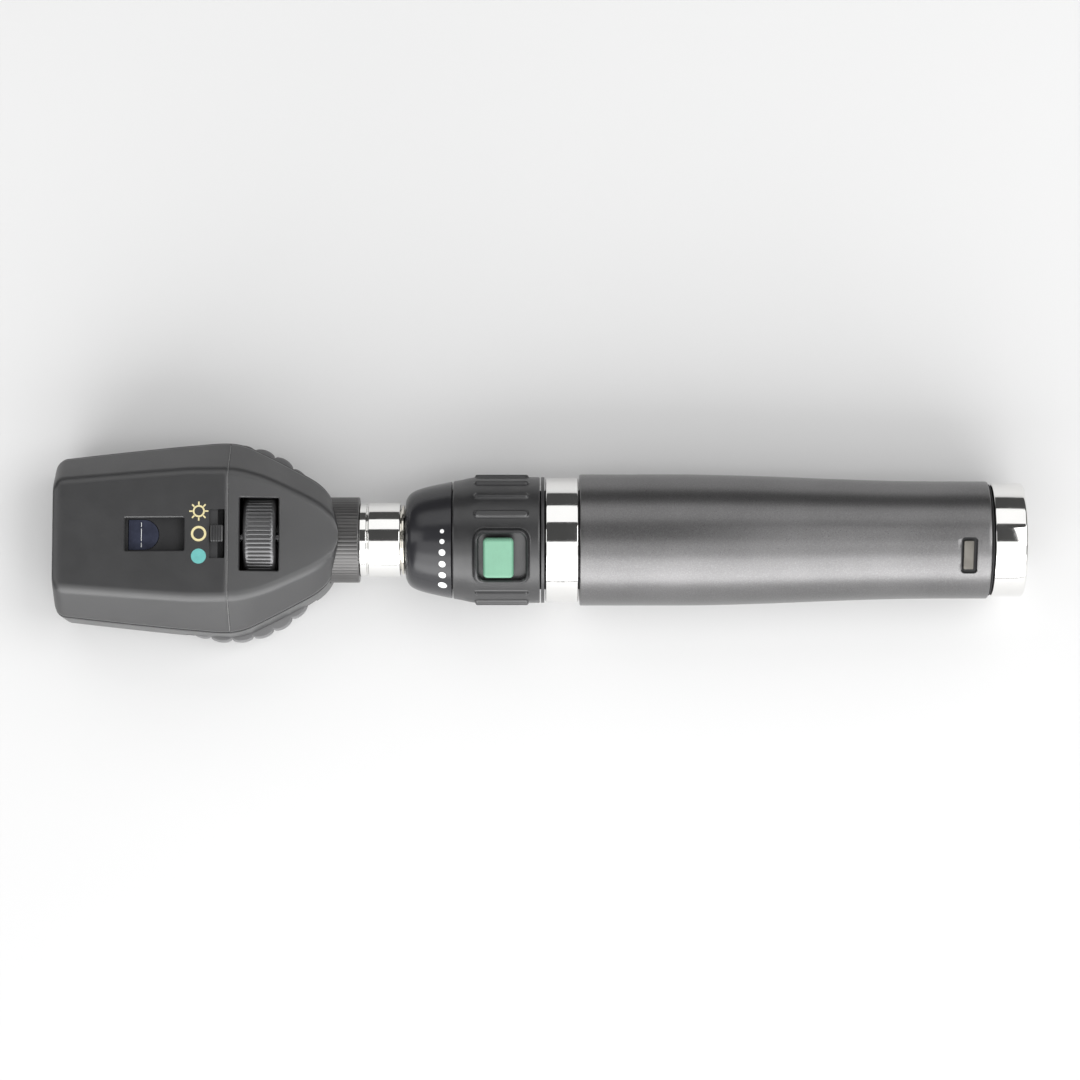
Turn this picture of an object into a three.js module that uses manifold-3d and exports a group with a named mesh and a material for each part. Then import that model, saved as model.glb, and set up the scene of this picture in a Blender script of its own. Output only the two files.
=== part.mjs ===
// A coaxial ophthalmoscope: an optical head on a rechargeable handle, lying on its back.
// Millimetres, +Z up. Every piece is modelled about the instrument's own axis, which runs along X:
// x = 0 is the shoulder that the head seats on, the handle runs to +X and the head to -X.
// The head's front, the side that faces the patient, looks up along +Z.
import * as THREE from "three";
import { mergeVertices } from "three/addons/utils/BufferGeometryUtils.js";
import Module from "manifold-3d";

const wasm = await Module();
wasm.setup();

// ---------------------------------------------------------------- driving dimensions
const GAP = 0.3; // clearance between neighbouring pieces
const TUBE_R = 15.9; // the grip at its thickest, which is also the height of the axis over the table
const TAIL_R = 14.2; // the grip at its slim end
const HANDLE_END = 150.2;
const TUBE_START = 42.9;
const TUBE_END = 141.6;
const BORE_R = 12.4; // the grip's bore, which holds the battery
const CORE_R = 12; // the sleeve that the control ring turns on
const FRONT_ANGLE = 22; // degrees from +Z towards -Y: where the button and the charge slot sit

const HEAD_LENGTH = 83.2;
const NECK_U = 14.8; // where the head's shells begin
const SEAM_U = 41; // the seam between the two front covers
const WALL = 1.6;
const PARTING_H = 4; // the height of the joint between front and rear shells
const BACK_H = 13.4; // depth of the head's flat back below the axis
const NECK_R = 11.1;

const WHEEL = { u: 41.5, r: 24.5, low: -10.6, high: -7.8, scallops: 28, lenses: 24, pitch: 18.5 };
const DRUM = { u0: 29.6, u1: 37.4, h: 4.6, r: 11, inner: 9.3 };
const SLOT = { u0: 41.7, u1: 45.4, halfWidth: 5.9 };
const WINDOW = { u0: 51.7, u1: 65.5, halfWidth: 3.6 };
const VIEW_U = 60; // the viewing axis through head, lens wheel and window
const FILTER_PITCH = 3.7; // between the filter positions
const SCREWS = { u: 64, v: 16.5 };
const POST = { r: 7.2, length: 8.1, bore: 5.6, notch: 50, notchDepth: 4 }; // notch: degrees wide
const LUG_ANGLE = 0; // degrees about X from +Z towards -Y
const TWIST = 35; // degrees that the head turns on its bayonet
const RIB_STEP = 20; // degrees between the ribs of the control ring

// ---------------------------------------------------------------- small helpers
const headX = (u) => -(GAP + u); // u is measured along the head from the mouth of its socket
const radians = THREE.MathUtils.degToRad;
const lerp = THREE.MathUtils.lerp;

// A smooth curve through [at, value] pairs (Catmull-Rom, flat outside its ends).
function through(pairs, at) {
  if (at <= pairs[0][0]) return pairs[0][1];
  const last = pairs.length - 1;
  if (at >= pairs[last][0]) return pairs[last][1];
  const i = pairs.findIndex(([p]) => p > at) - 1;
  const slope = (k) => {
    const [a, b] = [pairs[Math.max(k - 1, 0)], pairs[Math.min(k + 1, last)]];
    return (b[1] - a[1]) / (b[0] - a[0]);
  };
  const [x0, y0] = pairs[i];
  const [x1, y1] = pairs[i + 1];
  const span = x1 - x0;
  const t = (at - x0) / span;
  const [m0, m1] = [slope(i) * span, slope(i + 1) * span];
  const cubic = (2 * t ** 3 - 3 * t ** 2 + 1) * y0 + (t ** 3 - 2 * t ** 2 + t) * m0;
  return cubic + (-2 * t ** 3 + 3 * t ** 2) * y1 + (t ** 3 - t ** 2) * m1;
}

// Turns the faces of a closed geometry outwards if they point inwards.
function facingOut(geometry) {
  const flat = geometry.index ? geometry.toNonIndexed() : geometry;
  const p = flat.getAttribute("position");
  const [a, b, c] = [new THREE.Vector3(), new THREE.Vector3(), new THREE.Vector3()];
  let volume = 0;
  for (let i = 0; i < p.count; i += 3) {
    a.fromBufferAttribute(p, i);
    b.fromBufferAttribute(p, i + 1);
    c.fromBufferAttribute(p, i + 2);
    volume += a.dot(b.cross(c));
  }
  if (volume < 0) {
    for (let i = 0; i < p.count; i += 3) {
      b.fromBufferAttribute(p, i + 1);
      c.fromBufferAttribute(p, i + 2);
      p.setXYZ(i + 1, c.x, c.y, c.z);
      p.setXYZ(i + 2, b.x, b.y, b.z);
    }
  }
  return flat;
}

function solidOf(geometry) {
  const bare = new THREE.BufferGeometry();
  bare.setAttribute("position", facingOut(geometry).getAttribute("position"));
  const merged = mergeVertices(bare, 1e-4);
  const vertProperties = merged.attributes.position.array;
  const triVerts = new Uint32Array(merged.index.array);
  return new wasm.Manifold(new wasm.Mesh({ numProp: 3, vertProperties, triVerts }));
}

function geometryOf(solid) {
  const { vertProperties, triVerts } = solid.getMesh();
  const geometry = new THREE.BufferGeometry();
  geometry.setAttribute("position", new THREE.BufferAttribute(vertProperties, 3));
  geometry.setIndex(new THREE.BufferAttribute(triVerts, 1));
  geometry.computeVertexNormals();
  return geometry;
}

// A round piece about the X axis, from [x, radius] points that go once round its section.
function turned(points, segments = 32) {
  const profile = points.map(([x, r]) => new THREE.Vector2(r, x));
  const onAxis = points[0][1] === 0 && points.at(-1)[1] === 0;
  if (!onAxis) profile.push(profile[0].clone());
  return solidOf(new THREE.LatheGeometry(profile, segments).rotateZ(-Math.PI / 2));
}

const tube = (x0, x1, inner, outer, segments) =>
  turned([[x0, inner], [x0, outer], [x1, outer], [x1, inner]], segments);
const rod = (x0, x1, r, segments) => turned([[x0, 0], [x0, r], [x1, r], [x1, 0]], segments);

function box([x0, x1], [y0, y1], [z0, z1]) {
  const geometry = new THREE.BoxGeometry(Math.abs(x1 - x0), y1 - y0, z1 - z0);
  return solidOf(geometry.translate((x0 + x1) / 2, (y0 + y1) / 2, (z0 + z1) / 2));
}

// A box in the head's terms: along the head, across it and up from its axis.
const headBox = ([u0, u1], v, h) => box([headX(u1), headX(u0)], v, h);

// An upright cylinder.
function upright(x, y, [z0, z1], r, segments = 16) {
  const geometry = new THREE.CylinderGeometry(r, r, z1 - z0, segments).rotateX(Math.PI / 2);
  return solidOf(geometry.translate(x, y, (z0 + z1) / 2));
}

// A flat outline in the XY plane, raised from z0 to z1.
function raised(shape, [z0, z1], curveSegments = 12) {
  const options = { depth: z1 - z0, bevelEnabled: false, curveSegments };
  return solidOf(new THREE.ExtrudeGeometry(shape, options).translate(0, 0, z0));
}

// A surface through rings of points, closed at both ends.
function loft(rings) {
  const count = rings[0].length;
  const corners = [];
  const face = (...points) => points.forEach((q) => corners.push(q.x, q.y, q.z));
  rings.slice(1).forEach((ring, k) => {
    const before = rings[k];
    for (let i = 0; i < count; i++) {
      const j = (i + 1) % count;
      face(before[i], before[j], ring[j]);
      face(before[i], ring[j], ring[i]);
    }
  });
  const cap = (ring, flip) => {
    for (let i = 1; i < count - 1; i++) {
      face(ring[0], ring[flip ? i + 1 : i], ring[flip ? i : i + 1]);
    }
  };
  cap(rings[0], true);
  cap(rings.at(-1), false);
  const geometry = new THREE.BufferGeometry();
  geometry.setAttribute("position", new THREE.Float32BufferAttribute(corners, 3));
  return solidOf(geometry);
}

// A wire of round section wound into a coil along X.
function coil({ x0, x1, r0, r1, wire, turns, sides = 6, stepsPerTurn = 12 }) {
  const steps = Math.round(turns * stepsPerTurn);
  const points = Array.from({ length: steps + 1 }, (_, i) => {
    const t = i / steps;
    const angle = t * turns * 2 * Math.PI;
    const r = lerp(r0, r1, t);
    return new THREE.Vector3(lerp(x0, x1, t), r * Math.cos(angle), r * Math.sin(angle));
  });
  const section = new THREE.Shape().absarc(0, 0, wire, 0, 2 * Math.PI);
  const extrudePath = new THREE.CatmullRomCurve3(points);
  const options = { steps, extrudePath, curveSegments: sides / 2, bevelEnabled: false };
  return solidOf(new THREE.ExtrudeGeometry(section, options));
}

const aboutAxis = (solid, degrees) => solid.rotate([degrees, 0, 0]);
const joined = (solids) => solids.reduce((all, one) => all.add(one));

// ---------------------------------------------------------------- materials
const finishes = {
  shell: { color: 0x3d3d3f, roughness: 0.45, metalness: 0 },
  blackGloss: { color: 0x1d1d1f, roughness: 0.25, metalness: 0 },
  blackSatin: { color: 0x2c2c2e, roughness: 0.5, metalness: 0 },
  rubber: { color: 0x232324, roughness: 0.85, metalness: 0 },
  chrome: { color: 0xe6e4e0, roughness: 0.08, metalness: 1 },
  nickel: { color: 0xd8d0c0, roughness: 0.2, metalness: 1 },
  steel: { color: 0x9a9a9c, roughness: 0.3, metalness: 1 },
  brass: { color: 0xb8934a, roughness: 0.3, metalness: 1 },
  anodised: { color: 0x56555a, roughness: 0.45, metalness: 0.9 },
  collar: { color: 0x6b6a6a, roughness: 0.4, metalness: 0.8 },
  green: { color: 0x5fb585, roughness: 0.4, metalness: 0 },
  glass: { color: 0xdfe8ee, roughness: 0.02, metalness: 0 },
  blueGlass: { color: 0x27345c, roughness: 0.05, metalness: 0 },
  mirror: { color: 0xf4f4f4, roughness: 0.02, metalness: 1 },
  board: { color: 0x1f5b3a, roughness: 0.5, metalness: 0 },
  wrap: { color: 0x2b4a8a, roughness: 0.4, metalness: 0 },
};
const materials = Object.fromEntries(
  Object.entries(finishes).map(([name, finish]) => [name, new THREE.MeshStandardMaterial(finish)]),
);

const instrument = new THREE.Group();
function add(name, finish, solid) {
  const mesh = new THREE.Mesh(geometryOf(solid), materials[finish]);
  mesh.name = name;
  instrument.add(mesh);
}

// ================================================================ the head
// Half width of the head at its parting line, along the head.
const OUTLINE = [
  [14.8, 11.1], [17.5, 12.8], [21, 14.7], [25.5, 16.4], [30.5, 18.9],
  [36, 21.9], [41, 23.1], [50, 22.6], [66, 21], [80.2, 19.4],
];
const PLATEAU = [[14.8, 4.5], [20, 8], [26, 11], [32, 13.6], [38, 15.2], [42, 15.5], [83.2, 15.7]];
const BACK = [[14.8, 10.8], [19, 12.5], [26, BACK_H], [80.2, BACK_H]];
const TOP_CORNER = 3;

// Height of the front: two planes that meet in a crease at the seam.
const frontHeight = (u) => (u > SEAM_U ? 15 - 0.05 * (u - SEAM_U) : 15 - 0.14 * (SEAM_U - u));

// How far the head has drawn in at its rounded top end: 0 below it, the corner's radius at the end.
function topInset(u, end) {
  const into = Math.max(0, u - (end - TOP_CORNER)) / TOP_CORNER;
  return TOP_CORNER * (1 - Math.sqrt(Math.max(0, 1 - Math.min(into, 1) ** 2)));
}

// The ring of points round the head at u, drawn in by an inset for the inside of its walls.
function headRing(u, inset = 0, end = HEAD_LENGTH) {
  const tip = topInset(u, end);
  const w = through(OUTLINE, u) - inset - tip;
  const p = through(PLATEAU, u) - 0.7 * inset - tip;
  const f = frontHeight(u) - inset - 0.25 * tip;
  const b = through(BACK, u) - inset - 0.25 * tip;
  const half = [
    [0.5 * p, f],
    [p - 1.5, f],
    [p - 0.3, f - 0.35],
    [p + 0.6, f - 1.2],
    [lerp(p, w, 0.55), lerp(f, PARTING_H, 0.5)],
    [w - 0.35, PARTING_H + 1.6],
    [w, PARTING_H],
    [w, PARTING_H - 6],
    [w - 0.5, 3.2 - b],
    [w - 1.6, 1.2 - b],
    [w - 3.4, -b],
    [0.5 * w, -b],
  ];
  const boxy = THREE.MathUtils.smoothstep(u, NECK_U, 26); // 0 at the round neck
  const ring = half.concat(half.map(([v, h]) => [-v, h]).reverse());
  return ring.map(([v, h]) => {
    const scale = (NECK_R - inset) / Math.hypot(v, h);
    return new THREE.Vector3(headX(u), lerp(v * scale, v, boxy), lerp(h * scale, h, boxy));
  });
}

function headBody(from, end, inset) {
  const stations = [from, 17.5, 20.5, 24, 28, 32, 36.5, SEAM_U, 52, 66];
  const corner = [0, 0.5, 0.8, 1].map((t) => end - TOP_CORNER + TOP_CORNER * t);
  return loft([...stations, ...corner].map((u) => headRing(u, inset, end)));
}

const headOuter = headBody(NECK_U, HEAD_LENGTH, 0);
const headInner = headBody(17, HEAD_LENGTH - WALL, WALL).add(rod(headX(18), headX(14), 8.9, 24));
const headShell = headOuter.subtract(headInner);

const frontHalf = headBox([0, 90], [-30, 30], [PARTING_H + GAP / 2, 30]);
const rearHalf = headBox([0, 90], [-30, 30], [-30, PARTING_H - GAP / 2]);

function frontCoverUpper() {
  const part = headBox([SEAM_U + GAP / 2, 90], [-30, 30], [0, 30]);
  const bosses = joined([-1, 1].map((side) =>
    upright(headX(SCREWS.u), side * SCREWS.v, [PARTING_H + GAP / 2, 8], 2.2)));
  const pilots = joined([-1, 1].map((side) =>
    upright(headX(SCREWS.u), side * SCREWS.v, [0, 7], 1.1)));
  const windowHole = headBox([WINDOW.u0, WINDOW.u1], [-WINDOW.halfWidth, WINDOW.halfWidth], [8, 20]);
  const switchSlot = headBox([SLOT.u0, SLOT.u1], [-SLOT.halfWidth, SLOT.halfWidth], [8, 20]);
  const cover = headShell.intersect(frontHalf).intersect(part).add(bosses.intersect(headOuter));
  return cover.subtract(pilots).subtract(windowHole).subtract(switchSlot);
}

function frontCoverLower() {
  const part = headBox([0, SEAM_U - GAP / 2], [-30, 30], [0, 30]);
  const pocket = headBox([28.9, 38.2], [-8.8, 8.8], [6, 20]);
  return headShell.intersect(frontHalf).intersect(part).subtract(pocket);
}

function rearShell() {
  const wheelSlot = upright(headX(WHEEL.u), 0, [WHEEL.low - 0.6, WHEEL.high + 0.6], WHEEL.r + 0.6, 48);
  const eyeRecess = upright(headX(VIEW_U), 0, [-BACK_H - 1, -BACK_H + 0.7], 6.5, 24);
  const eyeHole = upright(headX(VIEW_U), 0, [-15, -11], 2.2);
  const readout = headBox([27.6, 32.4], [-3.4, 3.4], [-15, -11]);
  const axleBoss = upright(headX(WHEEL.u), 0, [-BACK_H + 0.5, WHEEL.low - GAP], 3.4);
  const axleHole = upright(headX(WHEEL.u), 0, [-12.6, -11], 1.8);
  const posts = joined([-1, 1].map((side) =>
    upright(headX(SCREWS.u), side * SCREWS.v, [-BACK_H + 0.5, PARTING_H - GAP / 2], 2.2)));
  const holes = joined([-1, 1].map((side) =>
    upright(headX(SCREWS.u), side * SCREWS.v, [-15, 10], 1.3)
      .add(upright(headX(SCREWS.u), side * SCREWS.v, [-15, -BACK_H + 1.3], 2.3))));
  const detentPosts = joined([-1, 1].map((side) =>
    upright(headX(DETENT.u1 + 1.5), side * 4.7, [-BACK_H + 0.5, DETENT.h1], 1.2, 10)));
  const shell = headShell.intersect(rearHalf).add(axleBoss).add(posts).add(detentPosts);
  return [wheelSlot, eyeRecess, eyeHole, readout, axleHole, holes].reduce((s, cut) => s.subtract(cut), shell);
}

function screw(side) {
  const [x, y] = [headX(SCREWS.u), side * SCREWS.v];
  const head = upright(x, y, [-BACK_H + 0.2, -BACK_H + 1], 1.95);
  const slot = box([x - 3, x + 3], [y - 0.3, y + 0.3], [-14, -BACK_H + 0.55]);
  return head.add(upright(x, y, [-BACK_H + 0.8, 6.4], 0.8, 10)).subtract(slot);
}

// The soft pad that rests against the examiner's brow. Its flat is what the head lies on.
function browRest() {
  const [top, bottom, half, corner] = [headX(80.5), headX(67), 13.5, 5];
  const pad = (inset) => {
    const shape = new THREE.Shape();
    const [x0, x1, y1, r] = [top + inset, bottom - inset, half - inset, corner - inset / 2];
    shape.moveTo(x0 + r, -y1).lineTo(x1 - r, -y1);
    shape.absarc(x1 - r, -y1 + r, r, -Math.PI / 2, 0).lineTo(x1, y1 - r);
    shape.absarc(x1 - r, y1 - r, r, 0, Math.PI / 2).lineTo(x0 + r, y1);
    shape.absarc(x0 + r, y1 - r, r, Math.PI / 2, Math.PI).lineTo(x0, -y1 + r);
    shape.absarc(x0 + r, -y1 + r, r, Math.PI, 1.5 * Math.PI);
    return shape;
  };
  const base = raised(pad(0), [-TUBE_R + 1, -BACK_H - GAP], 5);
  return base.add(raised(pad(1), [-TUBE_R, -TUBE_R + 1.2], 5));
}

// Frame under the patient's window, with a round-ended opening for the coated glass.
function roundEnded(u0, u1, half) {
  const shape = new THREE.Shape();
  shape.moveTo(headX(u1), -half).lineTo(headX(u0 + half), -half);
  shape.absarc(headX(u0 + half), 0, half, -Math.PI / 2, Math.PI / 2);
  shape.lineTo(headX(u1), half).closePath();
  return shape;
}
const WINDOW_TOP = frontHeight(WINDOW.u1) - WALL - GAP; // the frame lies just under the cover's wall
function windowFrame() {
  const plate = headBox([WINDOW.u0 - 1, WINDOW.u1 + 1], [-4.6, 4.6], [WINDOW_TOP - 1.1, WINDOW_TOP]);
  const viewing = raised(roundEnded(57.4, 65.2, 2.9), [8, 15]);
  const light = headBox([52.6, 56.4], [-2.4, 2.4], [8, 15]);
  return plate.subtract(viewing).subtract(light);
}
const windowGlass = () => raised(roundEnded(57.7, 64.9, 2.6), [WINDOW_TOP - 0.9, WINDOW_TOP - 0.2]);

// The thumb switch carries a plate with three openings across the light path.
function filterSwitch() {
  const thumb = headBox([42, 45.1], [-2, 2], [12.6, 15.9]);
  const shoe = headBox([42.2, 45], [-7.6, 7.6], [11.9, 12.7]);
  const plate = headBox([43.1, 44.3], [-6.6, 6.6], [-2.4, 12]);
  const holes = joined([-1, 0, 1].map((k) =>
    rod(headX(50), headX(40), 1.7, 12).translate([0, k * FILTER_PITCH, 0])));
  return joined([thumb, shoe, plate]).subtract(holes);
}
const filterDisc = (side) =>
  rod(headX(44.1), headX(43.3), 1.4, 12).translate([0, side * FILTER_PITCH, 0]);

// The drum that picks the aperture, and the thin disc of apertures inside it.
function apertureDial() {
  const { u0, u1, r, inner, h } = DRUM;
  const [a, b, chamfer] = [headX(u1), headX(u0), 0.6];
  const section = [[a, inner], [a, r - chamfer], [a + chamfer, r], [b - chamfer, r], [b, r - chamfer], [b, inner]];
  return turned(section, 36).translate([0, 0, h]);
}
function apertureDisc() {
  const [a, b, pitch] = [headX(34.2), headX(33), DRUM.h];
  const holes = [0.5, 0.9, 1.4].map((r, k) => aboutAxis(rod(a - 1, b + 1, r, 10).translate([0, 0, -pitch]), 60 * k));
  holes.push(aboutAxis(box([a - 1, b + 1], [-0.25, 0.25], [-pitch - 1.4, 1.4 - pitch]), 180));
  holes.push(aboutAxis(rod(a - 1, b + 1, 1.1, 4).translate([0, 0, -pitch]), 240));
  const halfMoon = rod(a - 1, b + 1, 1.4, 12).intersect(box([a - 2, b + 2], [0, 3], [-3, 3]));
  holes.push(aboutAxis(halfMoon.translate([0, 0, -pitch]), 300));
  return tube(a, b, 1.5, DRUM.inner - GAP, 32).subtract(joined(holes)).translate([0, 0, DRUM.h]);
}
const drumAxle = () => rod(headX(41), headX(26), 1.2, 12).translate([0, 0, DRUM.h]);

// The disc of lenses, with a scalloped edge that the finger turns at both sides of the head.
function scallopedShape(r, depth, count) {
  const steps = count * 3;
  const points = Array.from({ length: steps }, (_, i) => {
    const angle = ((i + 1.5) / steps) * 2 * Math.PI;
    const reach = i % 3 === 0 ? r : r - depth;
    return new THREE.Vector2(reach * Math.cos(angle), reach * Math.sin(angle));
  });
  return new THREE.Shape(points);
}
function lensSeats(r, [z0, z1]) {
  return joined(Array.from({ length: WHEEL.lenses }, (_, k) => {
    const angle = Math.PI + (k / WHEEL.lenses) * 2 * Math.PI;
    return upright(WHEEL.pitch * Math.cos(angle), WHEEL.pitch * Math.sin(angle), [z0, z1], r, 6);
  }));
}
const ringPlate = (inner, outer, heights) =>
  upright(0, 0, heights, outer, 32).subtract(upright(0, 0, [heights[0] - 1, heights[1] + 1], inner, 32));
function lensWheel() {
  const disc = raised(scallopedShape(WHEEL.r, 0.7, WHEEL.scallops), [WHEEL.low, WHEEL.high]);
  const seat = ringPlate(15.8, 21.2, [WHEEL.high - 0.8, WHEEL.high + 1]);
  const holes = lensSeats(2.05, [WHEEL.low - 1, WHEEL.high]).add(upright(0, 0, [-12, -6], 1.8));
  return disc.subtract(seat).subtract(holes).translate([headX(WHEEL.u), 0, 0]);
}
// The lenses are moulded as one clear ring that drops into the wheel.
function lensSet() {
  const ring = ringPlate(16.1, 20.9, [WHEEL.high - 0.5, WHEEL.high]);
  const lenses = lensSeats(1.7, [WHEEL.low + 0.4, WHEEL.high - 0.3]);
  return ring.add(lenses).translate([headX(WHEEL.u), 0, 0]);
}
const wheelAxle = () => upright(headX(WHEEL.u), 0, [-12.3, -7.1], 1.5, 12);

// A leaf spring across the top of the wheel whose nose drops between the scallops.
const DETENT = { u0: 66.8, u1: 67.2, half: 6, h0: -10.2, h1: -8.2 };
function detentSpring() {
  const leaf = headBox([DETENT.u0, DETENT.u1], [-DETENT.half, DETENT.half], [DETENT.h0, DETENT.h1]);
  const nose = headBox([66.3, 67], [-0.5, 0.5], [DETENT.h0, DETENT.h1]);
  return leaf.add(nose);
}

// The frame that holds lamp, lenses, drum and mirror in line.
function opticsChassis() {
  const low = -5.6;
  const solid = joined([
    rod(headX(27.5), headX(16.9), 6.9, 24),
    headBox([26.4, 28.2], [-13, 13], [low, 5]),
    headBox([26.4, 28.2], [-6.9, 6.9], [low, 9]),
    headBox([26.4, 52], [-14.5, -12.3], [low, 1]),
    headBox([26.4, 52], [12.3, 14.5], [low, 1]),
    headBox([39, 41.2], [-14.5, 14.5], [low, 9]),
    headBox([41, 57.2], [-6, 6], [low, 10]),
    headBox([49, 52], [-14.5, 14.5], [low, 1]),
  ]);
  const cuts = [
    rod(headX(24), headX(16), 5, 20),
    rod(headX(58), headX(20), 2.6, 16),
    headBox([42.6, 44.8], [-11, 11], [-4, 11]),
    headBox([52, 58], [-3.6, 3.6], [-4, 11]),
    rod(headX(42), headX(25), 1.5, 12).translate([0, 0, DRUM.h]),
  ];
  return cuts.reduce((s, cut) => s.subtract(cut), solid);
}

function lens(u0, u1, r) {
  const [a, b, edge] = [headX(u1), headX(u0), 0.8];
  return turned([[a, 0], [a + 0.35, r * 0.6], [a + edge, r], [b - edge, r], [b - 0.35, r * 0.6], [b, 0]], 20);
}

// A wedge whose silvered slope turns the light from along the head to out of its front.
function mirror() {
  const shape = new THREE.Shape();
  shape.moveTo(52.6, -3.2).lineTo(56.9, -3.2).lineTo(56.9, 1.1).closePath();
  const options = { depth: 6, bevelEnabled: false };
  const wedge = new THREE.ExtrudeGeometry(shape, options).translate(0, 0, -3);
  // The outline's x is along the head and its y is height.
  const place = new THREE.Matrix4().makeBasis(
    new THREE.Vector3(-1, 0, 0), new THREE.Vector3(0, 0, 1), new THREE.Vector3(0, 1, 0));
  return solidOf(wedge.applyMatrix4(place).translate(-GAP, 0, 0));
}

// The chromed ring that drops over the handle's post, with three lugs inside its mouth.
function bayonetSocket() {
  const outline = [
    [16.6, 5.2], [16.6, 8.6], [10, 8.6], [9.9, 8.75], [9.6, 8.9], [8.3, 8.9], [8.2, 8.3],
    [7.9, 8.3], [7.7, 8.9], [7.3, 9.1], [0.4, 9.1], [0, 8.8], [0, 7.5], [8.4, 7.5], [9.4, 5.2],
  ];
  const ring = turned(outline.map(([u, r]) => [headX(u), r]), 32);
  const lug = box([headX(7), headX(4.4)], [-0.6, 0.6], [6, 7.8]);
  const lugs = [0, 120, 240].map((k) => aboutAxis(lug, LUG_ANGLE + k));
  return joined([ring, ...lugs]);
}

// Fine flutes for the fingers, all round the neck.
function neckCollar() {
  const [count, r] = [40, 10.35];
  const points = Array.from({ length: count * 2 }, (_, i) => {
    const angle = (i / (count * 2)) * 2 * Math.PI;
    const reach = i % 2 ? r - 0.25 : r;
    return new THREE.Vector2(reach * Math.cos(angle), reach * Math.sin(angle));
  });
  const shape = new THREE.Shape(points);
  shape.holes.push(new THREE.Path().absarc(0, 0, 8.9, 0, 2 * Math.PI, true));
  const options = { depth: 4.5, bevelEnabled: false, curveSegments: 16 };
  return solidOf(new THREE.ExtrudeGeometry(shape, options).rotateY(Math.PI / 2).translate(headX(14.5), 0, 0));
}

// The lamp: a nickel base, a tip contact on its insulator, and a glass bulb with a lens end.
const lampBase = () => turned([[13, 3.3], [13, 4.6], [12, 4.9], [5.4, 4.9], [4.9, 4.4], [4.9, 3.3]].map(([u, r]) => [headX(u), r]), 24);
const lampInsulator = () => rod(headX(12.6), headX(4.9), 3, 16).subtract(rod(headX(9), headX(4), 1.5, 12));
const lampContact = () => turned([[8.7, 0], [8.7, 1.2], [4.3, 1.2], [3.9, 0.6], [3.9, 0]].map(([u, r]) => [headX(u), r]), 12);
const lampBulb = () => turned([[19, 0], [18.8, 1.2], [18, 2.3], [17, 2.8], [13.6, 2.8], [12.9, 2.4], [12.9, 0]].map(([u, r]) => [headX(u), r]), 16);

// ================================================================ the handle
function bayonetPost() {
  const section = [
    [-POST.length, POST.bore], [-POST.length, POST.r - 0.4], [-POST.length + 0.4, POST.r],
    [0.6, POST.r], [0.6, 6], [8, 6], [8, POST.bore],
  ];
  const notch = new THREE.Shape();
  const half = radians(POST.notch / 2);
  notch.moveTo(0, 0).lineTo(12 * Math.sin(-half), 12 * Math.cos(half)).lineTo(0, 13);
  notch.lineTo(12 * Math.sin(half), 12 * Math.cos(half)).closePath();
  // The notch's outline lies across the axis: its y is +Z at angle 0.
  const wedge = new THREE.ExtrudeGeometry(notch, { depth: POST.notchDepth + 1, bevelEnabled: false });
  const place = new THREE.Matrix4().makeBasis(
    new THREE.Vector3(0, 1, 0), new THREE.Vector3(0, 0, 1), new THREE.Vector3(1, 0, 0));
  const cut = solidOf(wedge.applyMatrix4(place).translate(-POST.length - 1, 0, 0));
  // Each lug rests near one end of its notch, which leaves the head its twist.
  const cuts = [0, 120, 240].map((k) => aboutAxis(cut, LUG_ANGLE + TWIST / 2 + k));
  return turned(section, 36).subtract(joined(cuts));
}
const postWasher = () => tube(0, 0.5, POST.r + GAP, 8.4, 32);
const contactInsulator = () => turned([[-3.2, 1.9], [-3.2, 5.3], [7.6, 5.3], [7.6, 1.9]], 20);
const contactPin = () => turned([[-3.9, 0], [-3.9, 0.7], [-3.4, 1.5], [8.2, 1.5], [8.2, 3], [9, 3], [9, 0]], 14);
const contactSpring = () => coil({ x0: 10.9, x1: 15.4, r0: 2.2, r1: 2.2, wire: 0.3, turns: 3.5, sides: 4 });

// Ends of a brass rod that joins the contact pin's spring to the battery.
const centreConductor = () => joined([rod(16, 16.8, 5, 16), rod(16.5, 42.6, 0.9, 10), rod(42, 42.8, 5, 16)]);

function noseCone() {
  return turned([
    [0.8, 7.5], [0.8, 8.6], [1.05, 9.8], [1.6, 10.9], [2.8, 11.8], [5.2, 12.7], [8.8, 13.5], [12.1, 14.2],
    [12.1, 12], [9.2, 12], [9.2, 9.3], [2.2, 9.3], [2.2, 7.5],
  ], 32);
}
function coreSleeve() {
  return turned([
    [2.5, 6.3], [2.5, 9], [9.5, 9], [9.5, 11.7], [12.2, 11.7], [12.2, CORE_R], [45.5, CORE_R],
    [45.5, 10.8], [8.6, 10.8], [8.6, 6.3],
  ], 32);
}

// A strip of resistance track round the core, and the wiper inside the control ring.
function arcStrip(inner, outer, [x0, x1], from, to) {
  const shape = new THREE.Shape();
  shape.absarc(0, 0, outer, radians(from), radians(to), false);
  shape.absarc(0, 0, inner, radians(to), radians(from), true);
  const options = { depth: x1 - x0, bevelEnabled: false, curveSegments: 10 };
  const strip = new THREE.ExtrudeGeometry(shape, options);
  // The outline's angle 0 is +Z and it turns towards -Y, as FRONT_ANGLE does.
  const place = new THREE.Matrix4().makeBasis(
    new THREE.Vector3(0, 0, 1), new THREE.Vector3(0, -1, 0), new THREE.Vector3(1, 0, 0));
  return solidOf(strip.applyMatrix4(place).translate(x0, 0, 0));
}
const rheostatTrack = () => arcStrip(CORE_R + GAP, CORE_R + 0.7, [13.2, 16.2], 120, 250);
const rheostatWiper = () => arcStrip(13, 13.6, [13.9, 15.5], 178, 192);

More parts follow.
